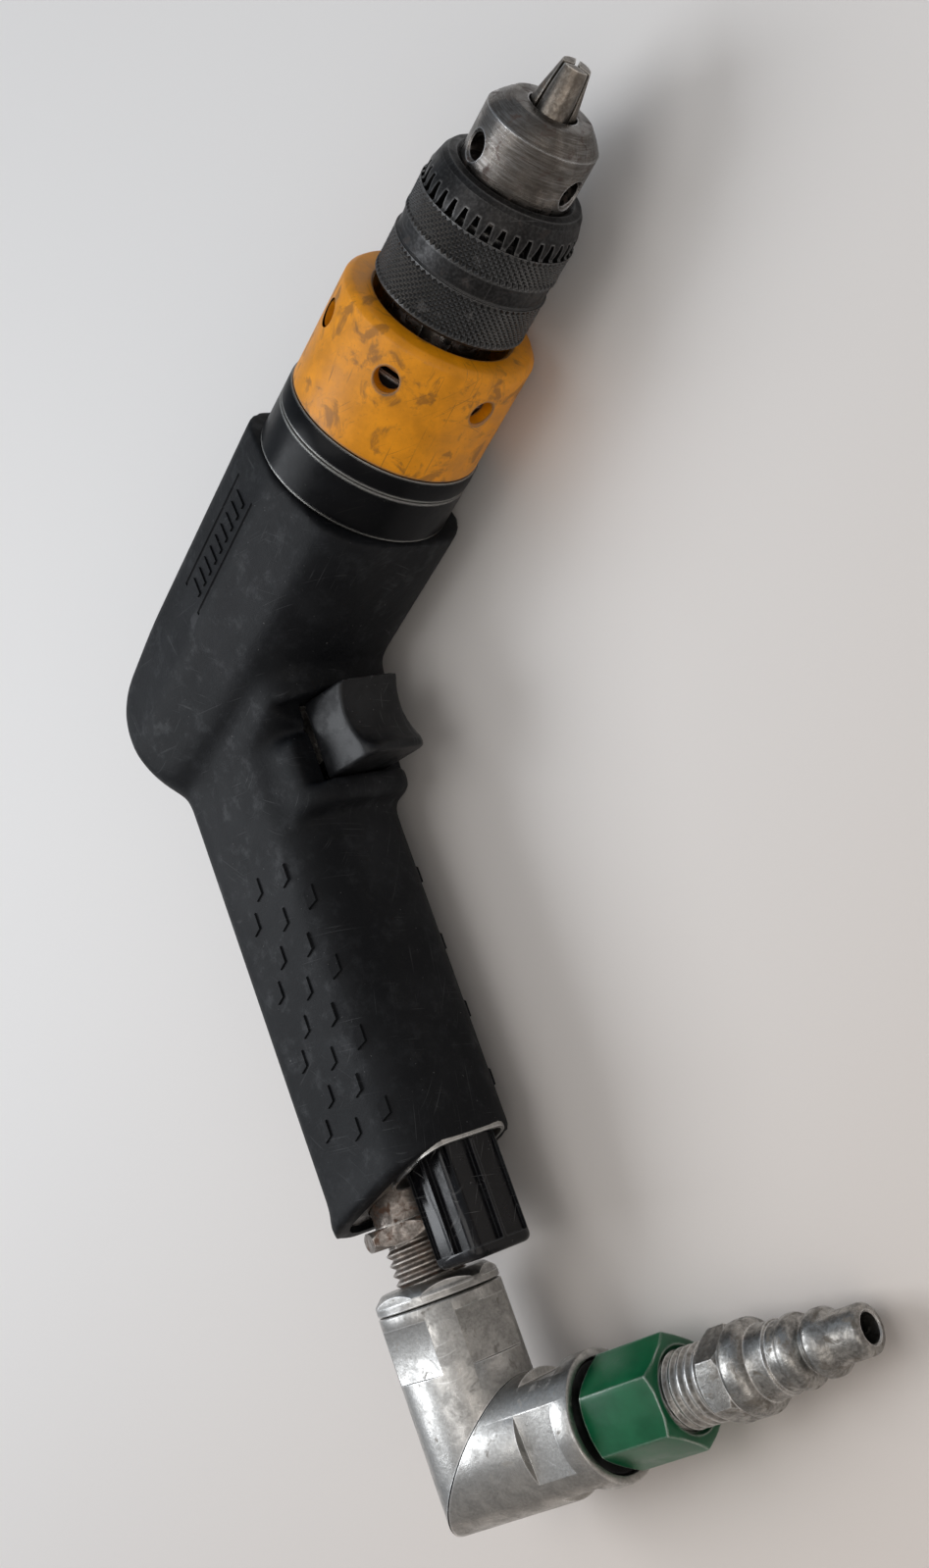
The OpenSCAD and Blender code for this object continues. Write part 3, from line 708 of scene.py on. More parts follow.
@dataclass(frozen=True)
class Finish:
    """A material: its slot in the record and its plain values."""

    slot: str
    colour: tuple[float, float, float]
    rough: float = 0.5
    metal: float = 0.0
    shine: float = 0.5

    def dress(self, s: Shader, fx: Effects) -> dict[str, object]:
        """Works out the surface.

        Args:
            s: the material's shader.
            fx: the shared effects; not used here.

        Returns:
            Values or links for the surface's sockets.
        """
        dirt = s.noise(2.5, 5, 0.6)
        return {
            "Base Color": s.blend(dirt, (*[c * 0.8 for c in self.colour], 1), (*self.colour, 1)),
            "Roughness": s.window(dirt, 0.3, 0.7, self.rough - 0.06, self.rough + 0.08),
            "Metallic": self.metal,
        }

    def build(self, fx: Effects) -> bpy.types.Material:
        """Makes the material.

        Args:
            fx: the shared effects.

        Returns:
            The material.
        """
        mat = bpy.data.materials.new(self.slot)
        mat.use_nodes = True
        mat.diffuse_color = (*self.colour, 1)
        s = Shader(mat.node_tree)
        surface = mat.node_tree.nodes["Principled BSDF"]
        for name, value in self.dress(s, fx).items():
            s.put(surface.inputs[name], value)
        return mat


@dataclass(frozen=True)
class Rubber(Finish):
    """Moulded rubber: fine grain, pale dust patches that are also a painted sheen, small light scuffs."""

    grain: float = 0.35
    bloom_and_sheen: float = 0.5

    def dress(self, s: Shader, fx: Effects) -> dict[str, object]:
        """See Finish.dress."""
        # Pale patches: dust on the rubber, and also a painted sheen that lightens it.
        dust = s.window(s.noise(22, 6, 0.6, warp=0.4), 0.35, 0.75)
        rub = s.window(s.noise(5, 5, 0.7), 0.48, 0.72)
        specks = s.window(s.noise(0.9, 3, 0.6), 0.71, 0.76)
        marks = s.effect(fx.scratches, Amount=0.35).outputs["Mask"]
        bloom_and_sheen_colour = tuple(c * 2.1 + 0.012 for c in self.colour)
        base = s.blend(s.math("MULTIPLY", dust, self.bloom_and_sheen), (*self.colour, 1), (*bloom_and_sheen_colour, 1))
        base = s.blend(s.math("MULTIPLY", rub, 0.16), base, (0.05, 0.054, 0.06, 1))
        base = s.blend(s.math("MULTIPLY", specks, 0.5), base, (0.2, 0.2, 0.2, 1))
        base = s.blend(marks, base, (0.07, 0.072, 0.076, 1))
        fine = s.bump(s.noise(0.35, 3, 0.6), 0.022)
        return {
            "Base Color": base,
            "Roughness": s.math("ADD", s.window(rub, 0, 1, self.rough, self.rough - 0.1), 0.0),
            "Specular IOR Level": self.shine,
            "Normal": s.bump(s.noise(self.grain * 8, 5, 0.65), 0.09, fine),
        }


@dataclass(frozen=True)
class Paint(Finish):
    """Paint with chipped edges, dark pits and grime over bare metal."""

    bare: tuple[float, float, float] = (0.35, 0.33, 0.3)
    wear: float = 0.5
    grime: tuple[float, float, float] = (0.1, 0.055, 0.02)
    gloss_coat: float = 0.25

    def dress(self, s: Shader, fx: Effects) -> dict[str, object]:
        """See Finish.dress."""
        chips = s.effect(fx.edges, Radius=0.8 * MM, Amount=self.wear).outputs["Mask"]
        pits = s.window(s.noise(1.7, 4, 0.7), 0.735 - 0.03 * self.wear, 0.75)
        bare = s.math("MAXIMUM", chips, s.math("MULTIPLY", pits, 0.9))
        stains = s.effect(fx.stains, Scale=0.16, Amount=self.wear).outputs["Mask"]
        tone = s.window(s.noise(7, 5, 0.6), 0.3, 0.7)
        dark = tuple(c * 0.72 for c in self.colour)
        base = s.blend(tone, (*dark, 1), (*self.colour, 1))
        base = s.blend(s.math("MULTIPLY", stains, 0.55), base, (*self.grime, 1))
        edge_dirt = s.window(s.noise(0.8, 4, 0.7), 0.58, 0.7)
        base = s.blend(s.math("MULTIPLY", edge_dirt, 0.22), base, (*self.grime, 1))
        lines = s.effect(fx.scratches, Amount=self.wear).outputs["Mask"]
        base = s.blend(s.math("MULTIPLY", lines, 0.8), base, (*self.grime, 1))
        base = s.blend(bare, base, (*self.bare, 1))
        level = s.math("SUBTRACT", 1.0, bare)
        return {
            "Base Color": base,
            "Roughness": s.math("ADD", s.window(tone, 0, 1, self.rough, self.rough + 0.12),
                                s.math("MULTIPLY", bare, 0.15)),
            "Metallic": s.math("MULTIPLY", bare, 0.8),
            "Coat Weight": s.math("MULTIPLY", level, self.gloss_coat),
            "Coat Roughness": 0.28,
            "Specular IOR Level": self.shine,
            "Normal": s.bump(level, 0.09, s.bump(s.noise(0.9, 3, 0.5), 0.02)),
        }


@dataclass(frozen=True)
class Metal(Finish):
    """Worked metal: tool marks, mottling, stains, bright edges."""

    mottle: float = 0.4
    mottle_size: float = 3.0
    stain: tuple[float, float, float] = (0.12, 0.07, 0.045)
    stain_amount: float = 0.2
    grain_axis: tuple[float, float, float] = (1, 1, 1)
    bright: tuple[float, float, float] = (0.75, 0.74, 0.72)
    edge: float = 0.3
    relief: float = 0.03
    pitting: float = 0.3

    def dress(self, s: Shader, fx: Effects) -> dict[str, object]:
        """See Finish.dress."""
        spots = s.noise(self.mottle_size, 7, 0.68, warp=0.5)
        cloud = s.window(spots, 0.38, 0.64)
        lines = s.noise(0.7, 3, 0.6, s.place(self.grain_axis))
        stains = s.effect(fx.stains, Scale=0.3, Amount=self.stain_amount * 2).outputs["Mask"]
        edges = s.effect(fx.edges, Radius=0.6 * MM, Amount=self.edge).outputs["Mask"]
        marks = s.effect(fx.scratches, Amount=0.6).outputs["Mask"]
        dull = tuple(c * (1 - self.mottle) for c in self.colour)
        base = s.blend(cloud, (*dull, 1), (*self.colour, 1))
        base = s.blend(s.math("MULTIPLY", s.window(lines, 0.4, 0.7), 0.18), base, (*self.bright, 1))
        base = s.blend(s.math("MULTIPLY", stains, min(1.0, self.stain_amount * 2.2)), base, (*self.stain, 1))
        base = s.blend(s.math("MAXIMUM", edges, s.math("MULTIPLY", marks, 0.5)), base, (*self.bright, 1))
        pits = s.window(s.noise(0.9, 4, 0.7), 0.62, 0.74)
        base = s.blend(s.math("MULTIPLY", pits, self.pitting), base, (*[c * 0.5 for c in self.stain], 1))
        rough = s.math("ADD", s.window(spots, 0.3, 0.7, self.rough + 0.12, self.rough - 0.1),
                       s.math("MULTIPLY", stains, 0.25))
        return {
            "Base Color": base,
            "Roughness": rough,
            "Metallic": s.math("SUBTRACT", self.metal, s.math("MULTIPLY", stains, 0.45)),
            "Normal": s.bump(lines, self.relief, s.bump(spots, self.relief * 2)),
        }


@dataclass(frozen=True)
class Plastic(Finish):
    """Moulded plastic: fine texture, dust and rub marks."""

    texture: float = 0.015
    dust: float = 0.3

    def dress(self, s: Shader, fx: Effects) -> dict[str, object]:
        """See Finish.dress."""
        haze = s.window(s.noise(6, 6, 0.65), 0.4, 0.75)
        marks = s.effect(fx.scratches, Amount=0.5).outputs["Mask"]
        specks = s.window(s.noise(0.7, 3, 0.6), 0.7, 0.75)
        edges = s.effect(fx.edges, Radius=0.6 * MM, Amount=0.25).outputs["Mask"]
        base = s.blend(s.math("MULTIPLY", haze, self.dust), (*self.colour, 1), (0.09, 0.09, 0.095, 1))
        base = s.blend(s.math("MAXIMUM", marks, s.math("MULTIPLY", specks, 0.6)), base, (0.18, 0.18, 0.18, 1))
        base = s.blend(s.math("MULTIPLY", edges, 0.35), base, (0.11, 0.115, 0.12, 1))
        return {
            "Base Color": base,
            "Roughness": s.window(haze, 0, 1, self.rough, self.rough + 0.18),
            "Specular IOR Level": self.shine,
            "Normal": s.bump(s.noise(0.5, 3, 0.6), self.texture),
        }


FINISHES: tuple[Finish, ...] = (
    Metal("aluminium", (0.47, 0.46, 0.44), 0.36, 1.0, mottle=0.32, mottle_size=4.5, stain=(0.15, 0.13, 0.105),
          stain_amount=0.22, bright=(0.78, 0.78, 0.77), relief=0.03, pitting=0.6),
    Paint("black_paint", (0.0022, 0.0025, 0.0035), 0.28, shine=0.1, bare=(0.5, 0.5, 0.48), wear=0.26,
          grime=(0.02, 0.019, 0.018), gloss_coat=0.05),
    Rubber("cover_rubber", (0.0042, 0.0048, 0.006), 0.56, shine=0.13, bloom_and_sheen=0.5),
    Paint("yellow_paint", (0.80, 0.30, 0.0015), 0.42, shine=0.35, wear=0.66, bare=(0.2, 0.17, 0.14),
          grime=(0.09, 0.045, 0.015), gloss_coat=0.06),
    Plastic("seal_rubber", (0.007, 0.007, 0.007), 0.6, shine=0.25),
    Metal("machined_steel", (0.42, 0.42, 0.42), 0.3, 1.0),
    Metal("bearing_steel", (0.6, 0.6, 0.61), 0.2, 1.0),
    Plastic("vane_laminate", (0.1, 0.05, 0.02), 0.5),
    Metal("chuck_nose_steel", (0.165, 0.148, 0.132), 0.3, 1.0, mottle=0.4, mottle_size=3.5, stain=(0.05, 0.022, 0.016),
          stain_amount=0.3, grain_axis=(3.0, 0.15, 0.15), bright=(0.6, 0.6, 0.6), pitting=0.35),
    Metal("phosphated_steel", (0.024, 0.0235, 0.024), 0.44, 0.8, mottle=0.4, mottle_size=5,
          stain=(0.035, 0.026, 0.022), stain_amount=0.25, bright=(0.13, 0.13, 0.13), edge=0.35),
    Metal("jaw_steel", (0.2, 0.175, 0.15), 0.36, 1.0, mottle=0.35, mottle_size=3, stain_amount=0.25,
          bright=(0.6, 0.57, 0.52)),
    Plastic("trigger_plastic", (0.0055, 0.006, 0.007), 0.36, shine=0.22, texture=0.02, dust=0.12),
    Plastic("valve_nylon", (0.03, 0.03, 0.03), 0.4),
    Metal("brass", (0.55, 0.36, 0.12), 0.35, 1.0),
    Plastic("deflector_plastic", (0.003, 0.003, 0.004), 0.18, shine=0.3, texture=0.006, dust=0.05),
    Finish("felt", (0.05, 0.046, 0.04), 0.95),
    Metal("rusty_steel", (0.24, 0.205, 0.18), 0.42, 0.9, mottle=0.45, mottle_size=2.2, stain=(0.11, 0.05, 0.025),
          stain_amount=0.34, bright=(0.55, 0.52, 0.48), pitting=0.5),
    Paint("green_finish", (0.0, 0.105, 0.038), 0.3, shine=0.3, wear=0.3, bare=(0.55, 0.6, 0.55),
          grime=(0.02, 0.045, 0.03)),
    Metal("zinc_plate", (0.36, 0.35, 0.33), 0.34, 1.0, mottle=0.5, mottle_size=2.6, stain=(0.12, 0.1, 0.075),
          stain_amount=0.3, bright=(0.78, 0.78, 0.77), relief=0.045, pitting=0.5),
)


# --------------------------------------------------------------------------- sub-assemblies


@dataclass
class Assembly:
    """Pieces that share a layout and a set of finishes."""

    layout: Layout
    paints: dict[str, bpy.types.Material]

    def keep(self, obj: bpy.types.Object, name: str, slot: str, body: str, axes: Axes | None, *nodes: str,
             smooth: float = 34.0) -> bpy.types.Object:
        """Puts a finished piece in its place and ties it to the frame.

        Args:
            obj: the piece, in its working frame.
            name: the piece's name.
            slot: material slot of the record.
            body: CAD body it moves with.
            axes: its working frame, or None when it is in the row frame already.
            nodes: CAD nodes it stands for.
            smooth: faces meeting below this angle are shaded as one.

        Returns:
            The piece.
        """
        if axes is not None:
            obj.data.transform(axes.matrix())
        obj.name = obj.data.name = name
        obj.data.materials.clear()
        obj.data.materials.append(self.paints[slot])
        Modeller.close(obj)
        bpy.ops.object.shade_smooth_by_angle(angle=math.radians(smooth))
        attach(obj, body)
        if nodes:
            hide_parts(*nodes)
        log.info("%s on %s: %d faces", name, body, len(obj.data.polygons))
        return obj


@dataclass
class Cover(Assembly):
    """The moulded rubber skin of barrel and grip."""

    radius: float = 22.0
    rear: float = -105.0
    side: tuple[tuple[float, float], ...] = (
        (1.014, 0.5), (0.955, 0.673), (0.832, 0.8), (0.045, 1.027), (-0.727, 0.923), (-0.932, 0.727),
        (-1.027, 0.409))
    depth: float = 42.3
    width: float = 34.0
    back: float = -13.3
    foot: float = 126.5
    foot_rise: float = 13.0
    case_r: float = 18.65
    trigger_s: float = 22.5
    trigger_lat: float = 34.5
    skin_lat: float = 29.5
    exhaust_lat: float = 19.5
    marks: tuple[tuple[float, float], ...] = (
        (2.5, 54.0), (7.2, 47.2), (12.4, 56.0), (17.4, 47.4), (22.4, 54.2))
    mark_pitch: float = 16.2

    def build(self) -> None:
        """Makes the cover."""
        skin = self._body()
        self._cut_openings(skin)
        self._add_marks(skin)
        self.keep(skin, "rubber_cover", "cover_rubber", "housing", None, "grip_cover", smooth=50)
        self._core()

    def _outline(self, k: float) -> Profile:
        """Section of the covered barrel.

        Args:
            k: size against the front section.

        Returns:
            The closed outline in millimetres.
        """
        half = [(a * self.radius * k, b * self.radius * k) for a, b in self.side]
        return half + [(a, -b) for a, b in reversed(half)]

    def _on_grip(self, obj: bpy.types.Object, s: float) -> bpy.types.Object:
        """Moves an object from the grip's frame to the row frame.

        Args:
            obj: the object.
            s: distance down the grip in millimetres.

        Returns:
            The object.
        """
        obj.data.transform(self.layout.grip.at(s * MM).matrix())
        return obj

    def _grip_block(self, lat: tuple, half: float, s: tuple, r: float) -> bpy.types.Object:
        """A block along the grip, in the row frame.

        Args:
            lat: lowest and highest distance forward of the inlet axis.
            half: half width.
            s: start and end down the grip.
            r: radius of its long edges.

        Returns:
            The block.
        """
        block = Modeller.block((lat[0], -half, 0), (lat[1], half, s[1] - s[0]), r)
        return self._on_grip(block, s[0])

    def _body(self) -> bpy.types.Object:
        """The blended outside.

        Returns:
            The solid, without its openings.
        """
        rear, front = self.rear, self.layout.span("grip_cover", self.layout.barrel)[1] / MM
        length, r = front - rear, self.radius
        body = Modeller.loft(self._outline(0.94), length + 8, 1.069)
        turned = Modeller.lathe([(0, 0), (r - 9, 0), (r - 4, 1.6), (r - 0.8, 5), (r + 1, 10), (r + 2.6, 30),
                                 (r + 3.6, length - 5), (r + 3.6, length + 7), (0, length + 7)])
        Modeller.combine(body, turned, Solver.KEEP)
        body.data.transform(self.layout.barrel.at(rear * MM).matrix())
        mid, half = self.back + self.depth / 2, self.width / 2
        skirt = self._grip_block((mid + 2 - self.depth / 2 - 8, mid + 2 + self.depth / 2 + 8), half + 0.5, (2, 18), 9)
        limit = Modeller.cylinder(r + 8, rear + 12, front - 12)
        limit.data.transform(self.layout.barrel.matrix())
        Modeller.combine(skirt, limit, Solver.KEEP)
        grip = self._grip_block((self.back, self.back + self.depth), half, (4, self.foot + 8), 11)
        nose = self._grip_block((0, self.trigger_lat + 1.5), half - 1.5, (20, self.trigger_s + 15), 8)
        bead = Modeller.block((self.back - 0.1, -half - 0.9, 0), (self.back + self.depth + 1.3, half + 0.9, 3.4), 11.5)
        slope = Axes(Vector((0, 0, 0)), Vector((math.sin(self._slope()), 0, math.cos(self._slope()))), Vector((1, 0, 0)))
        bead.data.transform(Matrix.Translation((-self.back * MM, 0, -3.4 * MM)))
        bead.data.transform(slope.matrix())
        bead.data.transform(Matrix.Translation((self.back * MM, 0, 0)))
        self._on_grip(bead, self.foot)
        Modeller.merge(body, skirt, grip, nose, bead)
        Modeller.blend(body, 1.0, 34)
        self._trim(body, front)
        window = self._grip_block((31.5, 61.5), 27, (self.trigger_s - 9.5, self.trigger_s + 9.5), 4)
        Modeller.combine(body, window)
        Modeller.blend(body, 0.8, 4)
        return body

    def _foot_plane(self, beyond: float) -> tuple[Vector, Vector]:
        """The foot's plane in the row frame.

        Args:
            beyond: distance past the rubber's foot, in millimetres.

        Returns:
            A point on it and its outward direction.
        """
        return self.layout.foot_plane(self.foot * MM, self.back * MM, self._slope(), beyond * MM)

    def _core(self) -> None:
        """The aluminium housing under the cover and the rim round its exhaust."""
        wall, half = 3, self.width / 2 - 3
        shell = Modeller.cylinder(self.case_r - 0.05, self.rear + 3.4, -46, 128)
        shell.data.transform(self.layout.barrel.matrix())
        grip = self._grip_block((self.back + wall, self.back + self.depth - wall), half, (0, self.foot), 8)
        block = self._grip_block((0, self.skin_lat - 0.2), half, (10, self.trigger_s + 13), 5)
        for part in (grip, block):
            Modeller.combine(shell, part, Solver.JOIN)
        bore = Modeller.cylinder(self.case_r - 2.25, self.rear + 7.4, -30, 96)
        joint = Modeller.cylinder(self.case_r - 1.15, -50, -30, 96)
        ahead = Modeller.cylinder(26, -46, 14, 96)
        for tool in (bore, joint, ahead):
            tool.data.transform(self.layout.barrel.matrix())
            Modeller.combine(shell, tool)
        inlet = Modeller.cylinder(6, 29, 140)
        socket = Modeller.cylinder(9, self.foot - 16, self.foot + 9)
        for tool in (self._on_grip(inlet, 0), self._on_grip(socket, 0)):
            Modeller.combine(shell, tool)
        pocket = self._grip_block((self.exhaust_lat - 8.1, self.exhaust_lat + 8.1), 9.1, (self.foot - 14, self.foot + 9), 3.5)
        root = self._grip_block((24.2, 48), 9, (self.trigger_s - 10, self.trigger_s + 10), 2)
        stem = Modeller.cylinder(4.25, -42, 40, 32)
        stem.data.transform(self.layout.grip.at((self.trigger_s + 6.5) * MM).matrix() @ Matrix.Rotation(math.pi / 2, 4, "Y"))
        for tool in (pocket, root, stem):
            Modeller.combine(shell, tool)
        Modeller.slice_off(shell, *self._foot_plane(-1.5))
        self.keep(shell, "housing_core", "aluminium", "housing", None, "motor_housing")
        lat, s = (self.exhaust_lat - 1 - 10, self.exhaust_lat - 1 + 10), (self.foot - 15, self.foot + 5)
        rim = self._grip_block(lat, 13, s, 6)
        Modeller.combine(rim, self._grip_block((lat[0] + 0.8, lat[1] - 0.8), 12.2, (s[0] - 1, s[1] + 1), 5.2))
        Modeller.slice_off(rim, *self._foot_plane(0.5))
        self.keep(rim, "exhaust_rim", "aluminium", "housing", None)

    def _slope(self) -> float:
        """Returns:
            The foot's slope in radians.
        """
        return math.atan(self.foot_rise / self.depth)

    def _trim(self, obj: bpy.types.Object, front: float) -> None:
        """Cuts the front rim and the sloping foot.

        Args:
            obj: the cover.
            front: place of the front rim in millimetres.
        """
        Modeller.slice_off(obj, Vector((front * MM, 0, 0)), Vector((1, 0, 0)))
        Modeller.slice_off(obj, *self._foot_plane(0))

    def _cut_openings(self, skin: bpy.types.Object) -> None:
        """Hollows the cover for the housing, the trigger and the exhaust.

        Args:
            skin: the cover.
        """
        barrel = Modeller.cylinder(self.case_r, self.rear + 3.4, 60)
        barrel.data.transform(self.layout.barrel.matrix())
        half, wall = self.width / 2, 3
        core = self._grip_block((self.back + wall, self.back + self.depth - wall), half - wall, (0, self.foot + 9), 8)
        block = self._grip_block((0, self.skin_lat), half - wall, (10, self.trigger_s + 13), 5)
        slot = self._grip_block((24, 52), 9.0, (self.trigger_s - 9.5, self.trigger_s + 9.5), 2)
        lips = self._grip_block((8.5, 28.5), 13, (self.foot - 12, self.foot + 9), 6)
        lines = [self._facet_rod(y, z, 0.55) for y, z in ((12.6, 19.3), (3.0, 22.05))]
        for tool in (barrel, core, block, slot, lips, *lines):
            Modeller.combine(skin, tool)

    def _facet_rod(self, y: float, z: float, r: float, low: float = -58.0, high: float = -26.0) -> bpy.types.Object:
        """A thin rod that lies along the cover's upper facet.

        Args:
            y: place across the barrel at the front section.
            z: height of the facet there.
            r: radius in millimetres.
            low: rear end.
            high: front end.

        Returns:
            The rod, in the row frame.
        """
        k_low, k_high = (1 - 0.06 * (-16.6 - x) / 88.4 for x in (low, high))
        a, b = Vector((low, y * k_low, z * k_low)) * MM, Vector((high, y * k_high, z * k_high)) * MM
        rod = Modeller.cylinder(r, 0, (b - a).length / MM, 10)
        rod.data.transform(Axes(a, b - a, Vector((0, 1, 0))).matrix())
        return rod

    def _add_marks(self, skin: bpy.types.Object) -> None:
        """Raises the grip marks on both sides and plain ribs on the facet.

        Args:
            skin: the cover.
        """
        stamp = Modeller.loft([(-1.5, -2.9), (1.5, -1.5), (1.5, 2.9), (-1.5, 1.5)], 1.4, 0.8)
        parts = []
        for lat, first in self.marks:
            over = max(0.0, lat - (self.back + self.depth - 11))
            drop, tilt = 11 - math.sqrt(121 - over * over), math.asin(over / 11)
            for row in range(4):
                for sign in (1, -1):
                    out = Vector((math.sin(tilt), sign * math.cos(tilt), 0))
                    at = Vector((lat, sign * (self.width / 2 - drop), first + row * self.mark_pitch)) * MM
                    place = Axes(at - out * 0.95 * MM, out, Vector((math.cos(tilt), -sign * math.sin(tilt), 0)))
                    m = self.layout.grip.matrix() @ place.matrix()
                    if sign < 0:
                        m = m @ Matrix.Rotation(math.pi, 4, "Z")
                    parts.append(Modeller.copy(stamp, m))
        rib = Modeller.block((-0.55, -2.6, 0), (0.55, 2.6, 0.9))
        for i in range(9):
            x = -29.0 - i * 3.2
            k = 1 - 0.06 * (-16.6 - x) / 88.4
            at = Vector((x, 7.8 * k, 20.62 * k - 0.5)) * MM
            parts.append(Modeller.copy(rib, Axes(at, Vector((0, 0.277, 0.96)), Vector((1, 0, 0))).matrix()))
        bpy.data.objects.remove(stamp)
        bpy.data.objects.remove(rib)
        Modeller.combine(skin, Modeller.merge(*parts), Solver.JOIN)


@dataclass
class GearHead(Assembly):
    """The black gear case and the yellow collar."""

    ring_r: float = 22.1
    collar_r: float = 21.7
    collar_l: float = 27.5
    neck_r: float = 18.6
    case_r: float = 18.6
    holes: int = 6
    hole_x: float = 18.3

    def build(self) -> None:
        """Makes both pieces."""
        r = self.ring_r
        case = Modeller.lathe([
            (15.4, -50), (17.5, -50), (17.5, -46), (self.case_r, -46), (self.case_r, -16.3), (r - 0.5, -16.3),
            (r, -15.8), (r, -5.55), (r - 0.16, -5.4), (r - 0.55, -5.35), (r - 0.55, -5.05), (r - 0.16, -5),
            (r, -4.85), (r, -0.45), (r - 0.3, 0), (self.neck_r, 0), (self.neck_r, 17.6), (self.neck_r - 0.4, 18),
            (14, 18), (14, -20), (17, -20), (17, -44), (15.4, -44)], 160)
        self.keep(case, "gear_case_shell", "black_paint", "housing", self.layout.barrel, "gear_case")
        c, l = self.collar_r, self.collar_l
        collar = Modeller.lathe([
            (c - 0.35, 0.05), (c, 0.4), (c, l - 1.7), (c - 0.12, l - 1.3), (c - 1.0, l - 0.3), (c - 1.5, l),
            (16.2, l), (15.7, l - 0.5), (15.7, 18.5), (self.neck_r + 0.05, 18.5), (self.neck_r + 0.05, 0.05)], 192)
        for i in range(self.holes):
            drill = Modeller.cylinder(2.8, 17, 24, 40)
            countersink = Modeller.lathe([(0, 21.3), (2.8, 21.3), (3.25, 21.75), (3.25, 23), (0, 23)], 40)
            for tool in (drill, countersink):
                a = math.radians(360 / self.holes * i)
                out = Vector((math.cos(a), math.sin(a), 0))
                tool.data.transform(Axes(Vector((0, 0, self.hole_x * MM)), out, Vector((0, 0, 1))).matrix())
                Modeller.combine(collar, tool)
        self.keep(collar, "yellow_collar", "yellow_paint", "housing", self.layout.barrel, "front_collar")


